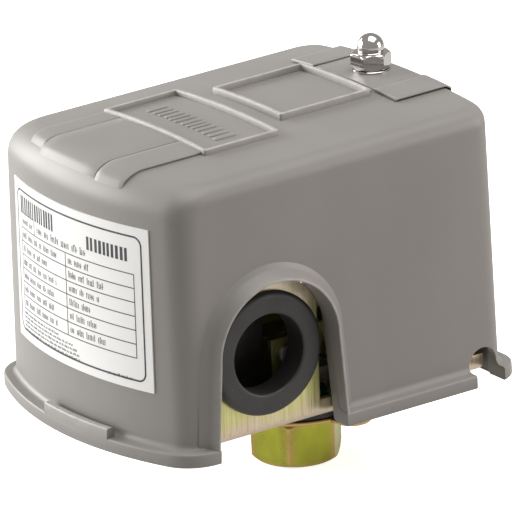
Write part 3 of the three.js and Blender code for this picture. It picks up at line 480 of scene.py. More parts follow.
RECIPES = {
    "cover_grey": cover_plastic,
    "label_white": label_sheet,
    "yellow_zinc": yellow_zinc,
    "olive_zinc": olive_zinc,
    "rubber_black": moulded_rubber,
    "phenolic_black": black_phenolic,
    "nylon_natural": natural_nylon,
    "fibre_sheet": vulcanised_fibre,
    "ink": printed_ink,
}
made_materials = {}


def material_for(slot):
    if slot not in made_materials:
        nodes = Nodes(slot)
        finish = EVEN_FINISHES.get(slot)
        made_materials[slot] = even_finish(nodes, **finish) if finish else RECIPES[slot](nodes)
    return made_materials[slot]


# ---- cover: plan outline and wall --------------------------------------------------------------
def arc(cx, cy, radius, start, end, steps):
    """Points of an arc from one angle to another, in degrees."""
    points = []
    for i in range(steps + 1):
        angle = radians(between(start, end, i / steps))
        points.append((cx + radius * math.cos(angle), cy + radius * math.sin(angle)))
    return points


def straight(a, b, steps):
    """The points strictly between a and b."""
    return [(between(a[0], b[0], i / steps), between(a[1], b[1], i / steps)) for i in range(1, steps)]


SIDE_STEPS = 30
BACK_STEPS = 24
BOW_STEPS = 44
FRONT_CORNER_STEPS = 16
BACK_CORNER_STEPS = 10


def front_tilt(side_x, front_r):
    return math.degrees(math.asin((side_x - front_r) / (BOW_R - front_r)))


def plan_outline(side_x, front_y, back_y, front_r, back_r):
    """The cover's plan: straight sides and back, bowed front, anticlockwise from the left back."""
    bow_y = front_y + BOW_R
    tilt = front_tilt(side_x, front_r)
    corner_x = side_x - front_r
    corner_y = bow_y - (BOW_R - front_r) * math.cos(radians(tilt))
    back_x = side_x - back_r
    back_left = arc(-back_x, back_y - back_r, back_r, 90, 180, BACK_CORNER_STEPS)
    front_left = arc(-corner_x, corner_y, front_r, 180, 270 - tilt, FRONT_CORNER_STEPS)
    bow = arc(0, bow_y, BOW_R, 270 - tilt, 270 + tilt, BOW_STEPS)[1:-1]
    front_right = arc(corner_x, corner_y, front_r, 270 + tilt, 360, FRONT_CORNER_STEPS)
    back_right = arc(back_x, back_y - back_r, back_r, 0, 90, BACK_CORNER_STEPS)
    points = back_left + straight(back_left[-1], front_left[0], SIDE_STEPS) + front_left + bow
    points += front_right + straight(front_right[-1], back_right[0], SIDE_STEPS) + back_right
    return points + straight(back_right[-1], back_left[0], BACK_STEPS)


def edge_inset(z, radius, top):
    """How far a rounded edge has pulled the wall in at height z."""
    rise = z - (top - radius)
    if rise <= 0:
        return 0.0
    return radius - math.sqrt(max(0.0, radius * radius - rise * rise))


def crowned(x, y, z):
    """The height z after the top face's tilt and side-to-side bow, which fade out down the walls."""
    share = min(1.0, max(0.0, (z - TOP_Z + CROWN_H) / CROWN_H))
    return z + share * (TOP_RISE * (y - TOP_FRONT_Y) - x * x / (2 * TOP_CROWN_R))


def wall_ring(z, out=0.0, depth=0.0):
    """The wall's outline at height z: out is outwards of it, depth is inside it."""
    top = TOP_Z - depth
    shift = out - depth - DRAFT * (z - FLANGE_Z)
    outline = plan_outline(
        SIDE_X + shift - edge_inset(z, SIDE_TOP_R - depth, top),
        FRONT_Y - shift + edge_inset(z, FRONT_TOP_R - depth, top),
        BACK_Y + shift - edge_inset(z, BACK_TOP_R - depth, top),
        FRONT_CORNER_R + out - depth,
        BACK_CORNER_R + out - depth,
    )
    return [(x, y, crowned(x, y, z)) for x, y in outline]


FLANGE_FILLET = 1.3
EDGE_ROUND = 0.45


def flange_rings():
    """From the bottom of the wall round the flange's edges and up its fillet to the plain wall."""
    low = FLANGE_Z
    high = FLANGE_Z + FLANGE_H
    rings = [wall_ring(low, 0, WALL)]
    for middle, start in ((low + EDGE_ROUND, -90), (high - EDGE_ROUND, 0)):
        for step in range(4):
            turn = radians(start + 30 * step)
            out = FLANGE_OUT - EDGE_ROUND + EDGE_ROUND * math.cos(turn)
            rings.append(wall_ring(middle + EDGE_ROUND * math.sin(turn), out))
    for angle in (0, 18, 36, 54, 72, 90):
        turn = radians(angle)
        out = FLANGE_FILLET - FLANGE_FILLET * math.sin(turn)
        rings.append(wall_ring(high + FLANGE_FILLET - FLANGE_FILLET * math.cos(turn), out))
    return rings


CAP_SHARES = (0.98, 0.9, 0.8, 0.7, 0.6, 0.5, 0.4, 0.3, 0.2, 0.1)


def crown_rings(depth, steps):
    """The rounded edge between wall and top face, then smaller and smaller rings on the top face."""
    top = TOP_Z - depth
    height = CROWN_H - depth
    rings = []
    for i in range(steps + 1):
        turn = radians(90 * i / steps)
        rings.append(wall_ring(top - height * (1 - math.sin(turn)), 0, depth))
    edge = rings[-1]
    middle_y = (edge[0][1] + min(point[1] for point in edge)) / 2
    for share in CAP_SHARES:
        ring = []
        for x, y, _ in edge:
            near = between(middle_y, y, share)
            ring.append((x * share, near, crowned(x * share, near, top)))
        rings.append(ring)
    return rings


WALL_RINGS = 14


def cover_shell():
    inside = [wall_ring(z, 0, WALL) for z in (FLANGE_Z + 0.6, 40, 60, TOP_Z - CROWN_H - 0.5)]
    inside += crown_rings(WALL, 8)
    foot = FLANGE_Z + FLANGE_H + FLANGE_FILLET + 0.4
    head = TOP_Z - CROWN_H - 0.4
    wall = [wall_ring(between(foot, head, i / WALL_RINGS)) for i in range(WALL_RINGS + 1)]
    shape = Shape()
    shape.grid(inside[::-1] + flange_rings() + wall + crown_rings(0, 20))
    return shape


# ---- cover: openings and collars ---------------------------------------------------------------
def arch_outline(wider, foot_z):
    """A cable opening seen along X: tapered legs under a round top, as (y, z) pairs."""
    legs = 14
    steps = 48
    right = (ARCH_Y + ARCH_FOOT + wider, foot_z)
    left = (ARCH_Y - ARCH_FOOT - wider, foot_z)
    top = arc(ARCH_Y, ARCH_Z, ARCH_R + wider, 0, 180, steps)
    points = [right] + straight(right, top[0], legs) + top
    return points + straight(top[-1], left, legs) + [left]


def through_cutter(outline):
    """A prism along X that passes through both sides."""
    reach = SIDE_X + 12
    shape = Shape()
    shape.grid([[(x, y, z) for y, z in outline] for x in (-reach, 0, reach)])
    return shape


def notch_outline():
    points = [(NOTCH_Y + NOTCH_R, FLANGE_Z - 2)]
    points += arc(NOTCH_Y, NOTCH_Z, NOTCH_R, 0, 180, 28)
    return points + [(NOTCH_Y - NOTCH_R, FLANGE_Z - 2)]


def wall_x(z):
    """X of the right-hand wall's outer face at height z."""
    return SIDE_X - DRAFT * (z - FLANGE_Z)


def collar(shape, side):
    """The cone round a cable opening, with a rounded rim and a fillet where it meets the wall."""
    rim = SIDE_X + FLANGE_OUT - 0.05
    foot = FLANGE_Z + 0.25
    # each pair: how much wider than the opening, and distance out of the wall (or from the rim)
    section = [
        ("wall", -0.02, -WALL - 0.6),
        ("rim", -0.02, -0.3),
        ("rim", 0.06, -0.10),
        ("rim", 0.24, 0.0),
        ("rim", 0.52, -0.04),
        ("rim", 0.72, -0.22),
        ("wall", COLLAR_FLARE * 0.62, 1.25),
        ("wall", COLLAR_FLARE * 0.86, 0.62),
        ("wall", COLLAR_FLARE + 0.25, 0.24),
        ("wall", COLLAR_FLARE + 1.0, 0.03),
        ("wall", COLLAR_FLARE + 1.4, -0.25),
    ]
    rows = []
    for base, wider, out in section:
        row = []
        for y, z in arch_outline(wider, foot):
            x = rim + out if base == "rim" else wall_x(z) + out
            row.append((side * x, y, z))
        rows.append(row)
    # painted highlight along the collar's rounded rim
    painted_highlight = [0, 0.1, 0.8, 0.9, 0.5, 0.1, 0, 0, 0, 0, 0]
    shape.highlit_grid(list(zip(*rows)), painted_highlight)


# ---- cover: relief on the top face -------------------------------------------------------------
def rounded_rectangle(x, y, radius, steps=4):
    points = []
    corners = [(x[1], y[1], 0), (x[0], y[1], 90), (x[0], y[0], 180), (x[1], y[0], 270)]
    for cx, cy, start in corners:
        inner_x = cx - radius if start in (0, 270) else cx + radius
        inner_y = cy - radius if start in (0, 90) else cy + radius
        points += arc(inner_x, inner_y, radius, start, start + 90, steps)
    return points


LONGEST_SIDE = 2.0


def divided(outline):
    """The closed outline with points added, so that no side is longer than LONGEST_SIDE."""
    points = []
    for a, b in zip(outline, outline[1:] + outline[:1]):
        points.append(a)
        points += straight(a, b, max(1, math.ceil(math.dist(a, b) / LONGEST_SIDE)))
    return points


def top_ring(x, y, radius, lift, inset=0.0):
    """A rounded rectangle on the top face, drawn inset from its sides."""
    ring = []
    for a, b in divided(rounded_rectangle(x, y, radius)):
        a = x[0] + inset + (a - x[0]) * (x[1] - x[0] - 2 * inset) / (x[1] - x[0])
        b = y[0] + inset + (b - y[0]) * (y[1] - y[0] - 2 * inset) / (y[1] - y[0])
        ring.append((a, b, crowned(a, b, TOP_Z) + lift))
    return ring


def raised_frame(shape, half_x, y, height, width=1.0):
    """A rectangular rib that stands on the top face."""
    bevel = 0.16
    # third column: painted highlight, strongest on the rib's top
    section = [
        (0.0, -0.4, 0),
        (0.06, height - bevel, 0.35),
        (bevel, height, 1),
        (width - bevel, height, 1),
        (width - 0.06, height - bevel, 0.35),
        (width, -0.4, 0),
    ]
    rows = [top_ring((-half_x, half_x), y, 0.5, lift, inset) for inset, lift, _ in section]
    shape.grid(rows, caps=False, painted_highlight=[row[2] for row in section])


SUNK = 0.4  # how far relief reaches below the face it stands on


def raised_pad(shape, x, y, height, radius=0.3):
    """A flat raised area with a rounded upper edge."""
    bevel = min(0.22, height * 0.6)
    section = [(0, -SUNK), (0, height - bevel), (bevel * 0.3, height - bevel * 0.3), (bevel, height)]
    rows = [top_ring(x, y, radius, lift, inset) for inset, lift in section]
    middle_in = min(x[1] - x[0], y[1] - y[0]) / 2 - 0.05
    rows.append(top_ring(x, y, radius, height, middle_in))
    # painted highlight on the pad's rounded upper edge
    shape.grid(rows, painted_highlight=[0, 0.1, 0.5, 0.12, 0])


def crown_point(x, along, front, start_y):
    """A point and its outward normal on the line that runs at x from start_y to the wall.

    along is 0 at start_y, 1 where the rounding begins and 2 where it has turned 90 degrees."""
    radius = FRONT_TOP_R if front else BACK_TOP_R
    turn = radians(90 * max(0.0, along - 1))
    z = TOP_Z - radius * (1 - math.cos(turn))
    inset = radius * (1 - math.sin(turn))
    lean = DRAFT * (z - FLANGE_Z)
    if front:
        bow = BOW_R - math.sqrt(BOW_R * BOW_R - x * x)
        y = FRONT_Y + lean + inset + bow
    else:
        y = BACK_Y - lean - inset
    if along < 1:
        y = between(start_y, y, along)
    outwards = -math.sin(turn) if front else math.sin(turn)
    return Vector((x, y, crowned(x, y, z))), Vector((0, outwards, math.cos(turn)))


PAD_FADE = 0.25  # the stretch over which a strip sinks into the wall


def pad_over_edge(shape, x, start_y, front, height, end):
    """A raised strip that runs from start_y over the rounded edge and fades into the wall."""
    bevel = 0.2
    across = [(x[0], -0.4), (x[0], -bevel), (x[0] + 0.06, -0.06), (x[0] + bevel, 0)]
    columns = 6
    for i in range(1, columns):
        across.append((between(x[0] + bevel, x[1] - bevel, i / columns), 0))
    across += [(x[1] - bevel, 0), (x[1] - 0.06, -0.06), (x[1], -bevel), (x[1], -0.4)]
    # painted highlight on the strip's rounded side edges
    edge_highlight = [0, 0.15, 0.5, 0.12] + [0] * (columns - 1) + [0.12, 0.5, 0.15, 0]
    stations = [0, 0.01, 0.03] + [0.25 * i for i in range(1, 4)]
    stations += [1 + (end - 1) * i / 18 for i in range(19)]
    rows = []
    for along in stations:
        left = blend_step((end - along) / PAD_FADE)
        lift = height * left - (1 - left) * 0.12
        if along == 0:
            lift -= 0.2
        row = []
        for at, drop in across:
            point, normal = crown_point(at, along, front, start_y)
            row.append(point + normal * (lift + drop))
        rows.append(row)
    shape.highlit_grid(rows, edge_highlight)


FRAME_1 = {"half_x": 19.9, "y": (-34.3, -14.6), "height": 1.2}
FRAME_2 = {"half_x": 13.3, "y": (-9.7, 14.8), "height": 1.5}
PAD_H = 0.6
BACK_PAD_H = 0.85
GROOVE = 0.34
# each front strip's sides, and how far over the edge it runs
FRONT_STRIPS = (((-20, -12.6 - GROOVE), 1.5), ((-12.6, 10.1 - GROOVE), 1.62), ((10.1, 18.5), 1.66))
BACK_PAD_X = (11.3, 20)
PANEL_Y = 16.6


def front_strips(shape):
    """Three strips with grooves between them, from the first frame over the front edge."""
    start = FRAME_1["y"][0] + 0.3
    for x, end in FRONT_STRIPS:
        pad_over_edge(shape, x, start, True, PAD_H, end)


def rear_panel(shape):
    """The panel under the cap nut, and the strips on both sides of it that run over the back."""
    inner, outer = BACK_PAD_X
    pad_over_edge(shape, (inner + GROOVE, outer), PANEL_Y, False, BACK_PAD_H, 1.72)
    pad_over_edge(shape, (-outer, -inner - GROOVE), PANEL_Y, False, BACK_PAD_H, 1.72)
    pad_over_edge(shape, (-inner, inner), PANEL_Y + GROOVE, False, PAD_H - 0.12, 1.72)
    raised_pad(shape, (-inner - 1.2, inner + 0.4), (FRAME_2["y"][1] - 0.3, PANEL_Y - GROOVE), PAD_H)


def boss(shape):
    """The low round seat of the cap nut's washer."""
    top = box_mm("cap_washer")[0].z - 0.02
    radius = 5.4
    profile = [
        (radius, TOP_Z),
        (radius, top - 0.14),
        (radius - 0.05, top - 0.03),
        (radius - 0.22, top + 0.01),
        (radius - 0.5, top - 0.06),
        (2.9, top - 0.06),
    ]
    # painted highlight on the boss's rim
    shape.lathe(profile, 0, RANGE_Y, 72, painted_highlight=[0, 0.3, 1, 0.8, 0.2, 0])


def greeked_relief(shape):
    """A row of small raised bars in the first frame, in place of the moulded word."""
    draw = random.Random(11)
    middle = sum(FRAME_1["y"]) / 2 - 0.3
    x, right_end = -13.4, 12.6
    while x < right_end:
        width = draw.uniform(1.0, 1.5)
        tall = draw.uniform(2.3, 2.7)
        raised_pad(shape, (x, x + width), (middle - tall, middle + tall), 0.36, 0.25)
        x += width + draw.uniform(0.75, 1.2)


LATCH_X = (-6.4, 16.5)


def latch_block(shape):
    """The raised block on the front flange, with a gap between it and the wall."""
    base = FLANGE_Z + FLANGE_H - 0.6
    top = FLANGE_Z + FLANGE_H + 2.2
    bevel = 0.3
    section = [
        (1.05, base),
        (1.05, top - bevel),
        (1.05 + bevel, top),
        (FLANGE_OUT - 0.15 - bevel, top),
        (FLANGE_OUT - 0.15, top - bevel),
        (FLANGE_OUT - 0.02, base),
    ]
    # painted highlight on the block's top edge
    painted_highlight = [0, 0.2, 0.5, 0.9, 0.6, 0]
    steps = 20
    rows = []
    for i in range(steps + 1):
        x = between(*LATCH_X, i / steps)
        row = []
        for out, z in section:
            radius = BOW_R + out
            y = FRONT_Y + BOW_R + DRAFT * (z - FLANGE_Z) - math.sqrt(radius * radius - x * x)
            row.append((x, y, z))
        rows.append(row)
    shape.highlit_grid(rows, painted_highlight)


def build_cover():
    shell = cover_shell().mesh("shell")
    stud_hole = Shape().lathe([(3, TOP_Z - 6), (3, TOP_Z + 6)], 0, RANGE_Y, 40)
    arch = through_cutter(arch_outline(0, FLANGE_Z - 2))
    notch = through_cutter(notch_outline())
    shell = carve(shell, [arch, notch, stud_hole])
    relief = Shape()
    collar(relief, 1)
    collar(relief, -1)
    raised_frame(relief, **FRAME_1)
    raised_frame(relief, **FRAME_2)
    front_strips(relief)
    rear_panel(relief)
    boss(relief)
    greeked_relief(relief)
    latch_block(relief)
    mesh = merge_meshes("cover_shell", shell, relief.mesh("relief"))
    piece("cover_shell", mesh, "cover", 34)


# ---- label -------------------------------------------------------------------------------------
LABEL_X = (-24.4, 27.3)  # the label's ends on the bowed front
label_low, label_high = box_mm("rating_label")
LABEL_LIFT = 0.3


def front_path():
    """Points of the front wall's plan from the left side to the right, with their run so far."""
    tilt = front_tilt(SIDE_X, FRONT_CORNER_R)
    corner_x = SIDE_X - FRONT_CORNER_R
    corner_y = FRONT_Y + BOW_R - (BOW_R - FRONT_CORNER_R) * math.cos(radians(tilt))
    points = arc(-corner_x, corner_y, FRONT_CORNER_R, 180, 270 - tilt, 60)
    points += arc(0, FRONT_Y + BOW_R, BOW_R, 270 - tilt, 270 + tilt, 240)[1:]
    run = [0.0]
    for a, b in zip(points, points[1:]):
        run.append(run[-1] + math.dist(a, b))
    return points, run


FRONT_POINTS, FRONT_RUN = front_path()


def run_at(x):
    """How far along the front wall the given x is."""
    for i, (a, b) in enumerate(zip(FRONT_POINTS, FRONT_POINTS[1:])):
        if a[0] <= x <= b[0]:
            share = (x - a[0]) / (b[0] - a[0])
            return between(FRONT_RUN[i], FRONT_RUN[i + 1], share)
    raise ValueError("x is outside the front wall")


LABEL_START = run_at(LABEL_X[0])
LABEL_W = run_at(LABEL_X[1]) - LABEL_START
LABEL_Z = (label_low.z, label_high.z)
LABEL_H = LABEL_Z[1] - LABEL_Z[0]


def on_front(run, z, out):
    """A point at this run along the front wall and this height, standing out of the wall."""
    i = 0
    while i < len(FRONT_RUN) - 2 and FRONT_RUN[i + 1] < run:
        i += 1
    a, b = Vector(FRONT_POINTS[i]), Vector(FRONT_POINTS[i + 1])
    at = a.lerp(b, (run - FRONT_RUN[i]) / (FRONT_RUN[i + 1] - FRONT_RUN[i]))
    along = (b - a).normalized()
    outwards = Vector((along.y, -along.x))
    at = at + outwards * (out - DRAFT * (z - FLANGE_Z))
    return at.x, at.y, z


def on_label(u, v, out):
    """A point on the label: u from its left edge, v up from its lower edge."""
    return on_front(LABEL_START + u, LABEL_Z[0] + v, out)


def label_patch(shape, u, v, low, high):
    """A thin patch on the label, closed all round."""
    steps = max(1, math.ceil((u[1] - u[0]) / 0.9))
    rows = []
    for i in range(steps + 1):
        at = between(u[0], u[1], i / steps)
        rows.append([on_label(at, v[0], low), on_label(at, v[0], high),
                     on_label(at, v[1], high), on_label(at, v[1], low)])
    shape.grid(rows)


INK = (LABEL_LIFT + 0.005, LABEL_LIFT + 0.03)


def ink(shape, u, v):
    label_patch(shape, u, v, *INK)


def ink_frame(shape, u, v, radius, line):
    """A rounded rectangle drawn as a line."""
    outer = rounded_rectangle(u, v, radius, 8)
    inner_u = (u[0] + line, u[1] - line)
    inner_v = (v[0] + line, v[1] - line)
    inner = rounded_rectangle(inner_u, inner_v, radius - line, 8)
    fine = []
    for outline in (outer, inner):
        dense = []
        for a, b in zip(outline, outline[1:] + outline[:1]):
            dense.append(a)
            dense += straight(a, b, max(1, round(abs(a[0] - b[0]) / 0.9)))
        fine.append(dense)
    count = min(len(ring) for ring in fine)
    section = ((0, INK[0]), (0, INK[1]), (1, INK[1]), (1, INK[0]))
    rows = [[on_label(*point, out) for point in fine[k][:count]] for k, out in section]
    shape.grid(rows, ring=True, caps=False)


def plain_bars(shape, draw, u, v, height, weight):
    """A heading's place, filled with even upright bars."""
    at = u[0]
    while at < u[1] - weight:
        ink(shape, (at, at + weight * draw.uniform(0.9, 1.5)), (v, v + height))
        at += weight * draw.uniform(2.0, 2.5)


def greeked_line(shape, draw, u, v, height, weight):
    """A line of short upright strokes in groups, where the printed words are."""
    at = u[0]
    while at < u[1] - weight:
        for _ in range(draw.randint(3, 7)):
            if at > u[1] - weight:
                break
            tall = height * draw.choice((0.72, 0.72, 0.8, 1.0))
            ink(shape, (at, at + weight), (v, v + tall))
            if draw.random() < 0.55:
                bar = v + tall * draw.choice((0.0, 0.42, 0.85))
                ink(shape, (at, at + weight * 2.1), (bar, bar + weight * 0.7))
            at += weight * draw.uniform(2.3, 2.9)
        at += height * 0.55


def label_print():
    """Border, table and greeked text."""
    shape = Shape()
    draw = random.Random(5)
    margin = 1.9
    line = 0.22
    ink_frame(shape, (margin, LABEL_W - margin), (margin, LABEL_H - margin), 2.2, 0.42)
    left, divider, right = 4.2, LABEL_W * 0.49, LABEL_W - 4.4
    row_h = 3.15
    table_top = LABEL_H - 10.6
    rows = 6
    for k in range(rows + 1):
        v = table_top - k * row_h
        ink(shape, (left, right), (v - line / 2, v + line / 2))
    for u in (left, divider, right):
        ink(shape, (u - line / 2, u + line / 2), (table_top - rows * row_h, table_top))
    ink(shape, (left, left + 7.5), (table_top + 3.3, table_top + 3.3 + line))
    ink(shape, (left + 7.5, left + 7.5 + line), (table_top, table_top + 3.3))
    greeked_line(shape, draw, (left + 0.8, left + 6.6), table_top + 1, 1.3, 0.18)
    greeked_line(shape, draw, (left + 9, divider + 8), table_top + 0.9, 1.7, 0.26)
    plain_bars(shape, draw, (left, left + 17), LABEL_H - 7.2, 3.9, 0.5)
    plain_bars(shape, draw, (divider + 8, right - 0.5), table_top + 2.6, 3.0, 0.6)
    for k in range(rows):
        v = table_top - (k + 1) * row_h + 0.85
        greeked_line(shape, draw, (left + 0.8, left + draw.uniform(12, 19)), v, 1.45, 0.17)
        greeked_line(shape, draw, (divider + 1, divider + draw.uniform(7, 14)), v, 1.55, 0.2)
    small = table_top - rows * row_h - 1.3
    for k in range(5):
        greeked_line(shape, draw, (left, left + draw.uniform(17, 26)), small - k * 0.95, 0.55, 0.1)
    greeked_line(shape, draw, (right - 9, right - 1.5), small - 4.1, 0.8, 0.17)
    return shape


def build_label():
    sheet = Shape()
    label_patch(sheet, (0, LABEL_W), (0, LABEL_H), 0.02, LABEL_LIFT)
    piece("label_sheet", sheet.mesh("label_sheet"), "rating_label")
    mesh = label_print().mesh("label_print")
    smooth(mesh)
    mesh.materials.append(material_for("ink"))
    printed = add_object("label_print", mesh)
    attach(printed, body_of["rating_label"])


# ---- turned and hexagonal parts ----------------------------------------------------------------
HEX_STEPS = 12  # columns on each flat of a hexagon


def hexagon_rows(x, y, across_flats, limits, turn):
    """Rows of a hexagon held inside a turned envelope of (radius, z) limits; turn is a corner's angle."""
    rows = []
    for radius, z in limits:
        row = []
        for k in range(6 * HEX_STEPS):
            flat = k % HEX_STEPS / HEX_STEPS
            angle = radians(60 * (k // HEX_STEPS) + 60 * flat)
            reach = across_flats / 2 / math.cos(radians(60 * flat - 30))
            reach = min(reach, radius)
            at = angle + radians(turn)
            row.append((x + reach * math.cos(at), y + reach * math.sin(at), z))
        rows.append(row)
    return rows


def hexagon(shape, x, y, across_flats, limits, turn, caps=True, edge_highlight=0.0):
    """A hexagon with chamfered ends. Its corners and chamfers carry the painted highlight."""
    start = len(shape.painted_highlight)
    rows = hexagon_rows(x, y, across_flats, limits, turn)
    shape.grid(rows, caps=caps)
    if not edge_highlight:
        return
    z_low, z_high = rows[0][0][2], rows[-1][0][2]
    for i in range(start, len(shape.points)):
        k = (i - start) % (6 * HEX_STEPS) % HEX_STEPS
        to_corner = min(k, HEX_STEPS - k) / HEX_STEPS
        z = shape.points[i][2]
        to_end = min(z - z_low, z_high - z)
        near = max(1 - to_corner * 9, 1 - to_end / 1.1, 0)
        shape.painted_highlight[i] = edge_highlight * min(1.0, near)


def chamfer_limits(across_flats, z, chamfer, ends=(True, True)):
    """Envelope of a hexagon whose corners are turned off at its ends."""
    corner = across_flats / 2 / math.cos(radians(30))
    inner = across_flats / 2 * 0.965
    rows = 6
    bottom, top = [], []
    for i in range(rows + 1):
        share = i / rows
        bottom.append((between(inner, corner, share), z[0] + chamfer * share ** 1.3))
        top.append((between(inner, corner, share), z[1] - chamfer * share ** 1.3))
    lower = bottom if ends[0] else [(corner, z[0])]
    upper = top[::-1] if ends[1] else [(corner, z[1])]
    middle = [(corner, between(lower[-1][1], upper[0][1], i / 8)) for i in range(1, 8)]
    return lower + middle + upper


def build_cap_nut():
    """Acorn nut: chamfered hexagon, short neck and polished dome."""
    low, high = box_mm("cap_nut")
    across_flats = 8.0
    hex_top = low.z + 3.75
    shape = Shape()
    hexagon(shape, 0, RANGE_Y, across_flats, chamfer_limits(across_flats, (low.z, hex_top), 0.62), 2)
    dome_r = 3.1
    neck_r = 2.86
    centre_z = high.z - dome_r
    profile = [(neck_r + 0.25, hex_top - 0.6), (neck_r + 0.25, hex_top - 0.02), (neck_r, hex_top + 0.22)]
    profile += [(neck_r, centre_z - 1.0)]
    first = math.degrees(math.asin(-0.75 / dome_r))
    profile += arc(0, centre_z, dome_r, first, 89, 18)
    shape.lathe(profile, 0, RANGE_Y, 64)
    piece("acorn_nut", shape.mesh("acorn_nut"), "cap_nut", 28)
    washer_low, washer_high = box_mm("cap_washer")
    ring = Shape()
    rounded_disc(ring, 0, RANGE_Y, 2.7, 4.35, (washer_low.z, washer_high.z), 0.12)
    piece("nut_washer", ring.mesh("nut_washer"), "cap_washer")


def rounded_disc(shape, x, y, inner, outer, z, bevel):
    """A washer or disc with softened edges."""
    profile = [
        (inner, z[0] + bevel),
        (inner + bevel, z[0]),
        (outer - bevel, z[0]),
        (outer, z[0] + bevel),
        (outer, z[1] - bevel),
        (outer - bevel, z[1]),
        (inner + bevel, z[1]),
        (inner, z[1] - bevel),
    ]
    shape.lathe(profile, x, y, 56, closed=True)


def build_grommet(side):
    """Rubber bush: rounded outer lip, waist in the sheet, tapered inner lip."""
    node = "grommet_right" if side > 0 else "grommet_left"
    low, high = box_mm(node)
    inner_x, outer_x = (low.x, high.x) if side > 0 else (high.x, low.x)
    centre = centre_mm(node)
    lip_r = (high.z - low.z) / 2
    ear_x = side * box_mm("base_bracket")[1].x
    bore = 9.0
    waist = 11.0
    lip = abs(outer_x - ear_x)

    def at(distance):
        return ear_x + side * distance

    profile = [(bore, inner_x), (lip_r - 2.4, inner_x), (lip_r - 1.8, inner_x + side * 0.7)]
    profile += [(lip_r - 1.8, at(-1.55)), (waist, at(-1.5)), (waist, at(0.05))]
    profile += [(lip_r - 0.5, at(0.05)), (lip_r - 0.12, at(0.2)), (lip_r, at(0.55))]
    round_r = 1.35
    steps = 10
    for i in range(steps + 1):
        angle = radians(90 * i / steps)
        radius = lip_r - round_r + round_r * math.cos(angle)
        profile.append((radius, at(lip - round_r + round_r * math.sin(angle))))
    profile += [(bore + 2.2, at(lip + 0.0)), (bore + 0.9, at(lip - 0.02))]
    inner_round = 0.7
    for i in range(1, 7):
        angle = radians(90 + 90 * i / 6)
        radius = bore + inner_round + inner_round * math.cos(angle)
        profile.append((radius, at(lip - inner_round + inner_round * math.sin(angle))))
    shape = Shape()
    shape.lathe(profile, centre.y, centre.z, 96, axis="x", closed=True)
    piece(node + "_bush", shape.mesh(node), node, 40)


PORT_CORNER = 17  # angle of one corner of the port's hexagon from +X


def build_port():
    """Hexagonal fitting with chamfered ends, a neck and a threaded bore."""
    low, high = box_mm("port_fitting")
    across_flats = 19
    hex_top = 10.5
    corner = across_flats / 2 / math.cos(radians(30))
    limits = [(9.15, low.z), (9.3, low.z + 0.06)]
    limits += [(between(9.3, corner, i / 8), low.z + 0.06 + 1.5 * (i / 8) ** 1.35) for i in range(1, 9)]
    limits += [(corner, between(low.z + 1.7, hex_top - 0.9, i / 14)) for i in range(15)]
    limits += [(between(corner, 9.9, i / 5), hex_top - 0.8 + 0.8 * (i / 5) ** 0.8) for i in range(1, 6)]
    limits.append((8.6, hex_top))
    shape = Shape()
    # painted highlight on the hexagon's corners and chamfers
    hexagon(shape, 0, 0, across_flats, limits, PORT_CORNER, caps=False, edge_highlight=0.9)
    mouth = [(9.15, low.z), (7.3, low.z), (6.7, low.z + 0.5)]
    bore = 6.1
    pitch = 1.337
    z = low.z + 0.8
    while z < 9.4:
        mouth += [(bore - 0.35, z), (bore + 0.3, z + pitch / 2)]
        z += pitch
    mouth += [(5.2, 9.8), (1.5, 10.2), (1.5, high.z - 0.3)]
    neck = [(1.5, high.z - 0.3), (1.7, high.z), (7.9, high.z), (8, high.z - 0.2), (8, hex_top - 0.02)]
    neck.append((8.6, hex_top))
    shape.lathe(mouth, 0, 0, 72)
    shape.faces = shape.faces[:-2]
    shape.lathe(neck, 0, 0, 72)
    shape.faces = shape.faces[:-2]
    piece("port_body", shape.mesh("port_body"), "port_fitting", 24)


def flange_bolts():
    """Centres of the four clamping screws, from the CAD screws."""
    return [centre_mm(f"flange_screw_{k}") for k in (1, 2, 3, 4)]


def build_flange_plate():
    """Round plate with four lugs that blend into it."""
    low, high = box_mm("flange_plate")
    disc = 17.4
    lug_r = 4.4
    columns = 240

    def reach(angle, grow):
        best = disc + grow
        for bolt in flange_bolts():
            distance = math.hypot(bolt.x, bolt.y)
            off = angle - math.atan2(bolt.y, bolt.x)
            side = distance * math.sin(off)
            lug = lug_r + grow
            if abs(side) < lug and math.cos(off) > 0:
                best = max(best, distance * math.cos(off) + math.sqrt(lug * lug - side * side))
        return best

    bevel = 0.2
    section = [(-bevel, low.z), (0, low.z + bevel), (0, high.z - bevel), (-bevel, high.z)]
    rows = []
    for grow, z in section:
        row = []
        for k in range(columns):
            angle = 2 * math.pi * k / columns
            radius = reach(angle, grow)
            row.append((radius * math.cos(angle), radius * math.sin(angle), z))
        rows.append(row)
    shape = Shape()
    # painted highlight on the plate's rounded edges
    shape.grid(rows, painted_highlight=[0.3, 0.9, 0.9, 0.3])
    piece("flange_disc", shape.mesh("flange_disc"), "flange_plate")


def build_diaphragm():
    """Rubber rim with a bead, clamped between the plate and the guide ring."""
    low, high = box_mm("diaphragm")
    rim = high.x
    middle = (low.z + high.z) / 2
    profile = [(0.2, low.z + 0.4), (12, low.z), (rim - 0.5, low.z), (rim + 0.05, low.z + 0.5)]
    profile += [(rim + 0.12, middle), (rim + 0.05, high.z - 0.5), (rim - 0.5, high.z), (12, high.z)]
    profile.append((0.2, high.z - 0.4))
    piece("diaphragm_rim", Shape().lathe(profile, 0, 0, 96).mesh("rim"), "diaphragm", 40)
    low, high = box_mm("piston_guide")
    hole = 9.3
    profile = [(hole, low.z + 0.3), (hole + 0.3, low.z), (high.x - 0.3, low.z), (high.x, low.z + 0.3)]
    profile += [(high.x, low.z + 1.9), (high.x - 0.25, low.z + 2.25), (14.6, high.z)]
    profile += [(hole + 0.3, high.z), (hole, high.z - 0.3)]
    ring = Shape().lathe(profile, 0, 0, 96, closed=True)
    piece("guide_ring", ring.mesh("ring"), "piston_guide")


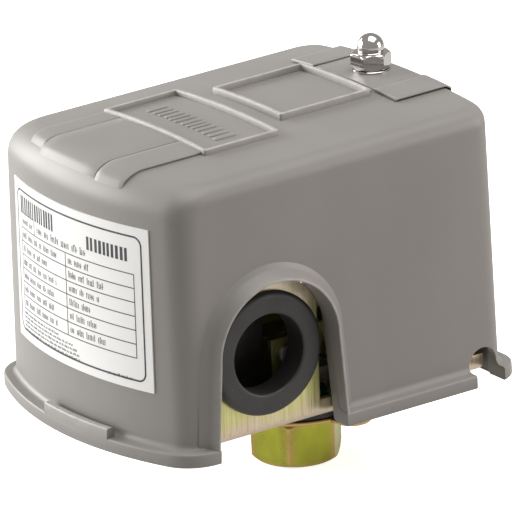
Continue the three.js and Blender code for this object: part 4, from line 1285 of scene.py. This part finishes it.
# ---- studs, springs, seats, nuts and screws ----------------------------------------------------
def threaded_rod(shape, x, y, radius, z):
    """A rod with a helical thread."""
    pitch = 0.8
    depth = 0.3
    columns = 24
    rows_per_pitch = 6
    count = round((z[1] - z[0]) / pitch * rows_per_pitch)
    rows = []
    for r in range(count + 1):
        at = between(z[0], z[1], r / count)
        row = []
        for c in range(columns):
            phase = (at / pitch - c / columns) % 1
            groove = abs(2 * phase - 1)
            end = min(1.0, (z[1] - at) / 0.5)
            reach = radius - depth * groove - (1 - end) * 0.35
            angle = 2 * math.pi * c / columns
            row.append((x + reach * math.cos(angle), y + reach * math.sin(angle), at))
        rows.append(row)
    shape.grid(rows)


def build_stud(node, plain_top, collar_r):
    low, high, centre = place_mm(node)
    sheet_top = box_mm("lever_yoke")[0].z
    radius = 2.4 if node == "range_stud" else 1.9
    shape = Shape()
    threaded_rod(shape, centre.x, centre.y, radius, (plain_top, high.z))
    profile = [(radius, low.z), (radius, sheet_top), (collar_r, sheet_top), (collar_r, sheet_top + 0.9)]
    profile += [(collar_r - 0.25, sheet_top + 1.15), (radius - 0.1, sheet_top + 1.2)]
    profile += [(radius - 0.1, plain_top - 0.3), (radius - 0.3, plain_top + 0.2)]
    shape.lathe(profile, centre.x, centre.y, 40)
    piece(node + "_threaded", shape.mesh(node), node, 50)


def coil(shape, x, y, outer, wire, z, turns):
    """A compression spring with closed, ground end turns."""
    steps = 30
    around = 10
    radius = outer - wire
    end_rise = 2 * wire * 1.02
    body_rise = z[1] - z[0] - 2 * wire - 2 * end_rise
    body_turns = turns
    total = body_turns + 2
    rows = []
    for s in range(round(total * steps) + 1):
        turn = s / steps
        if turn <= 1:
            height = end_rise * turn
        elif turn >= total - 1:
            height = end_rise + body_rise + end_rise * (turn - total + 1)
        else:
            height = end_rise + body_rise * (turn - 1) / body_turns
        angle = 2 * math.pi * turn
        row = []
        for k in range(around):
            tilt = 2 * math.pi * k / around
            reach = radius + wire * math.cos(tilt)
            up = z[0] + wire + height + wire * math.sin(tilt)
            up = min(max(up, z[0] + wire * 0.25), z[1] - wire * 0.25)
            row.append((x + reach * math.cos(angle), y + reach * math.sin(angle), up))
        rows.append(row)
    shape.grid(rows)


def build_spring(node, outer, wire, turns):
    low, high = box_mm(node)
    centre = (low + high) / 2
    axis = {"range_spring": "range_stud", "differential_spring": "differential_stud"}.get(node)
    if axis:
        centre = centre_mm(axis)
    shape = Shape()
    coil(shape, centre.x, centre.y, outer, wire, (low.z, high.z), turns)
    obj = piece(node + "_coil", shape.mesh(node), node, 50)
    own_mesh(obj)


def build_spring_seat(node):
    """A cupped washer over the end of a spring."""
    low, high, centre = place_mm(node)
    outer = (high.x - low.x) / 2
    hole = 2.9 if node.startswith("range") else 2.4
    skirt = outer - 0.5
    profile = [
        (hole, high.z - 2), (skirt - 0.2, high.z - 2), (skirt, high.z - 2.2), (skirt, low.z + 0.1),
        (skirt + 0.12, low.z), (outer - 0.12, low.z), (outer, low.z + 0.12), (outer, high.z - 0.7),
        (outer - 0.2, high.z - 0.22), (outer - 0.7, high.z), (hole + 0.15, high.z),
        (hole, high.z - 0.15),
    ]
    shape = Shape().lathe(profile, centre.x, centre.y, 64, closed=True)
    piece(node + "_cup", shape.mesh(node), node)


def build_adjusting_nut(node):
    low, high, centre = place_mm(node)
    shape = Shape()
    limits = chamfer_limits(8, (low.z, high.z), 0.5)
    hexagon(shape, centre.x, centre.y, 8, limits, 30)
    bore = 2.5 if node.startswith("range") else 2.0
    hole = Shape().lathe([(bore, low.z - 1), (bore, high.z + 1)], centre.x, centre.y, 40)
    recess_bottom = Shape().lathe([(bore, high.z - 0.4), (bore + 0.9, high.z + 0.5)], centre.x, centre.y, 40)
    mesh = carve(shape.mesh(node), [hole, recess_bottom])
    piece(node + "_hexagon", mesh, node, 28)


def pan_head(shape, x, y, z, radius, height, shank, bottom):
    """Turned body of a pan-head screw with its shank pointing down from z."""
    profile = [(shank - 0.3, bottom), (shank, bottom + 0.4), (shank, z)]
    profile += [(radius - 0.1, z), (radius, z + 0.15)]
    steps = 8
    for i in range(steps + 1):
        angle = radians(90 * i / steps)
        side = radius * (0.55 + 0.45 * math.cos(angle))
        profile.append((side, z + height * (0.45 + 0.55 * math.sin(angle))))
    shape.lathe(profile, x, y, 40)


def driver_slots(x, y, z, radius, width, depth, crossed, turn):
    """Cutters for a slotted or crossed recess."""
    slots = []
    for k in range(2 if crossed else 1):
        angle = radians(turn + 90 * k)
        along = Vector((math.cos(angle), math.sin(angle), 0))
        aside = Vector((-math.sin(angle), math.cos(angle), 0))
        length = radius * (0.62 if crossed else 1.4)
        rows = []
        for height in (z - depth, z + 1):
            middle = Vector((x, y, height))
            rows.append([middle + along * a * length + aside * b * width / 2
                         for a, b in ((-1, -1), (1, -1), (1, 1), (-1, 1))])
        slots.append(Shape().grid(rows))
    return slots


def build_screw(node, head_r, head_h, shank, crossed, turn):
    low, high, centre = place_mm(node)
    seat = high.z - head_h
    shape = Shape()
    pan_head(shape, centre.x, centre.y, seat, head_r, head_h, shank, low.z)
    slots = driver_slots(centre.x, centre.y, high.z, head_r, 0.8, head_h * 0.55, crossed, turn)
    piece(node + "_head", carve(shape.mesh(node), slots), node, 40)


def build_terminal_screw(node, turn):
    """A crossed-recess screw and its square wire clamp plate."""
    low, high, centre = place_mm(node)
    clamp = (high.x - low.x) / 2
    head_h = 2.4
    seat = high.z - head_h
    shape = Shape()
    pan_head(shape, centre.x, centre.y, seat, 3.2, head_h, 1.8, low.z)
    slots = driver_slots(centre.x, centre.y, high.z, 3.2, 0.85, 1.1, True, turn)
    head = carve(shape.mesh(node), slots)
    plate = Shape()
    bevel = 0.2
    rows = []
    for inset, z in ((bevel, seat - 1.02), (0, seat - 0.85), (0, seat - 0.2), (bevel, seat - 0.02)):
        x = (centre.x - clamp + inset, centre.x + clamp - inset)
        y = (centre.y - 3.6 + inset, centre.y + 3.6 - inset)
        rows.append([(a, b, z) for a, b in rounded_rectangle(x, y, 0.6)])
    plate.grid(rows)
    piece(node + "_clamp", merge_meshes(node, head, plate.mesh("plate")), node, 40)


def build_ground_screw(node):
    """A hexagon-head screw with a flange and a slot."""
    low, high, centre = place_mm(node)
    flange = (high.x - low.x) / 2
    seat = high.z - 3
    shape = Shape()
    hexagon(shape, centre.x, centre.y, 6.5, chamfer_limits(6.5, (seat + 0.7, high.z), 0.4, (False, True)), 30)
    slots = driver_slots(centre.x, centre.y, high.z, 3.2, 0.8, 0.9, False, 20)
    head = carve(shape.mesh(node), slots)
    under = Shape()
    profile = [(1.6, low.z), (1.8, low.z + 0.3), (1.8, seat + 0.02), (flange - 0.15, seat + 0.02)]
    profile += [(flange, seat + 0.2), (flange, seat + 0.5), (3.4, seat + 0.95), (2.6, seat + 1.0)]
    under.lathe(profile, centre.x, centre.y, 48)
    piece(node + "_hexagon", merge_meshes(node, head, under.mesh("under")), node, 32)


# ---- pieces refined from the CAD solids --------------------------------------------------------
def refine(node, bevel):
    """A copy of the CAD solid with its flat faces merged and its edges rounded."""
    mesh = frame["nodes"][node].data.copy()
    work = bmesh.new()
    work.from_mesh(mesh)
    bmesh.ops.remove_doubles(work, verts=work.verts, dist=0.002 * MM)
    bmesh.ops.dissolve_limit(work, angle_limit=radians(1), verts=work.verts, edges=work.edges)
    edges = [e for e in work.edges if len(e.link_faces) == 2 and e.calc_face_angle() > radians(30)]
    bmesh.ops.bevel(work, geom=edges, offset=bevel * MM, segments=2, profile=0.6, affect="EDGES",
                    clamp_overlap=True)
    for layer in list(work.loops.layers.uv.values()):
        work.loops.layers.uv.remove(layer)
    bmesh.ops.recalc_face_normals(work, faces=work.faces)
    clean = bpy.data.meshes.new(node + "_refined")
    work.to_mesh(clean)
    work.free()
    piece(node + "_refined", clean, node)


REFINED = {
    "base_bracket": 0.18,
    "operating_lever": 0.18,
    "lever_yoke": 0.18,
    "lever_pivot_pin": 0.15,
    "contact_block": 0.22,
    "arc_shield": 0.12,
    "contact_carrier": 0.22,
    "contact_bridge_left": 0.15,
    "contact_bridge_right": 0.15,
    "toggle_spring": 0.06,
    "piston": 0.2,
}


# ---- build -------------------------------------------------------------------------------------
build_cover()
build_label()
build_cap_nut()
build_grommet(1)
build_grommet(-1)
build_port()
build_flange_plate()
build_diaphragm()
build_stud("range_stud", 54, 2.8)
build_stud("differential_stud", 40, 3)
build_spring("range_spring", 4.7, 0.75, 6)
build_spring("differential_spring", 4.8, 0.6, 5)
for side in ("left", "right"):
    build_spring(f"contact_spring_{side}", 2.6, 0.3, 3)
    build_screw(f"block_screw_{side}", 2.5, 1.8, 1.4, True, 25)
    build_ground_screw(f"ground_screw_{side}")
for kind in ("range", "differential"):
    build_spring_seat(kind + "_spring_seat")
    build_adjusting_nut(kind + "_nut")
for k in (1, 2, 3, 4):
    build_screw(f"flange_screw_{k}", 2.9, 2, 1.75, True, 15 + 31 * k)
    build_terminal_screw(f"terminal_screw_{k}", 10 + 37 * k)
    REFINED[f"terminal_plate_{k}"] = 0.15
for node, bevel in REFINED.items():
    refine(node, bevel)


# ---- stage, light and camera -------------------------------------------------------------------
SEEN_GLOW = 0.75  # the floor's own light as the camera sees it
MIRRORED_GLOW = 0.42  # and as the metals reflect it
WORLD_MIRRORED = 0.5  # the surroundings' brightness in reflections
WORLD_DIFFUSE = 0.23  # and as soft light


def stage_material(colour, bounce):
    """Pale to the camera, an even glow in reflections, darker as a bounce light on the object."""
    n = Nodes("floor_pale")
    path = n.tree.nodes.new("ShaderNodeLightPath")
    tone = n.mix(n.noise(3), colour, tuple(c * 0.985 for c in colour))
    tone = n.mix(path.outputs["Is Camera Ray"], bounce, tone)
    seen_glow = n.maths("MULTIPLY", path.outputs["Is Camera Ray"], SEEN_GLOW)
    mirrored_glow = n.maths("MULTIPLY", path.outputs["Is Glossy Ray"], MIRRORED_GLOW)
    glow = n.maths("MAXIMUM", seen_glow, mirrored_glow)
    return n.set(Base_Color=tone, Roughness=0.9, Emission_Color=(1, 1, 1), Emission_Strength=glow)


def build_floor():
    half = 6
    mesh = bpy.data.meshes.new("floor")
    corners = [(-half, -half, 0), (half, -half, 0), (half, half, 0), (-half, half, 0)]
    mesh.from_pydata(corners, [], [(0, 1, 2, 3)])
    mesh.materials.append(stage_material((0.93, 0.93, 0.925), (0.42, 0.41, 0.4)))
    floor = add_object("floor", mesh)
    floor.location.z = -0.0002


def softbox(name, place, size, power, colour=(1, 1, 1)):
    """An area light aimed at the middle of the cover; place and size are in metres."""
    light = bpy.data.lights.new(name, "AREA")
    light.shape = "RECTANGLE"
    light.size, light.size_y = size
    light.energy = power
    light.color = colour
    lamp = add_object(name, light)
    lamp.location = place
    aim = Vector((0, 0, 0.05)) - Vector(place)
    lamp.rotation_mode = "QUATERNION"
    lamp.rotation_quaternion = aim.to_track_quat("-Z", "Y")


def build_world():
    """White to the camera, pale grey in reflections and darker as diffuse light."""
    world = bpy.data.worlds.new("studio")
    world.use_nodes = True
    tree = world.node_tree
    background = tree.nodes["Background"]
    background.inputs["Color"].default_value = (1, 1, 1, 1)
    path = tree.nodes.new("ShaderNodeLightPath")
    dimmed = tree.nodes.new("ShaderNodeMapRange")
    dimmed.inputs["To Min"].default_value = WORLD_MIRRORED
    dimmed.inputs["To Max"].default_value = WORLD_DIFFUSE
    tree.links.new(path.outputs["Is Diffuse Ray"], dimmed.inputs["Value"])
    strength = tree.nodes.new("ShaderNodeMath")
    strength.operation = "MAXIMUM"
    tree.links.new(path.outputs["Is Camera Ray"], strength.inputs[0])
    tree.links.new(dimmed.outputs["Result"], strength.inputs[1])
    tree.links.new(strength.outputs["Value"], background.inputs["Strength"])
    bpy.context.scene.world = world


VIEW_AZIMUTH = 56
VIEW_ELEVATION = 19.25
VIEW_ROLL = -2.53
VIEW_DISTANCE = 1200 * MM
VIEW_LENS = 373.9
AIM_RIGHT = -9.25 * MM  # the picture's centre, from the port's foot
AIM_UP = 44.34 * MM


def build_camera():
    azimuth, elevation, roll = map(radians, (VIEW_AZIMUTH, VIEW_ELEVATION, VIEW_ROLL))
    right = Vector((math.cos(azimuth), math.sin(azimuth), 0))
    back = Vector((math.sin(azimuth) * math.cos(elevation),
                   -math.cos(azimuth) * math.cos(elevation), math.sin(elevation)))
    up = back.cross(right)
    rolled_right = right * math.cos(roll) + up * math.sin(roll)
    rolled_up = up * math.cos(roll) - right * math.sin(roll)
    data = bpy.data.cameras.new("camera")
    data.lens = VIEW_LENS
    data.clip_start = 0.05
    data.clip_end = 50
    camera = add_object("camera", data)
    axes = Matrix((rolled_right, rolled_up, back)).transposed()
    port = Vector((0, port_y, 0))
    place = port + rolled_right * AIM_RIGHT + rolled_up * AIM_UP + back * VIEW_DISTANCE
    camera.matrix_world = Matrix.Translation(place) @ axes.to_4x4()
    bpy.context.scene.camera = camera


build_floor()
build_world()
softbox("left_box", (-1.25, -0.85, 0.32), (1.5, 1.2), 58)
softbox("top_box", (0.25, 0.2, 1.4), (1.2, 1.2), 18)
softbox("right_box", (0.34, 0.4, 0.2), (0.22, 0.26), 1.25, (1, 0.94, 0.91))
build_camera()
bpy.context.scene.view_settings.view_transform = "Standard"
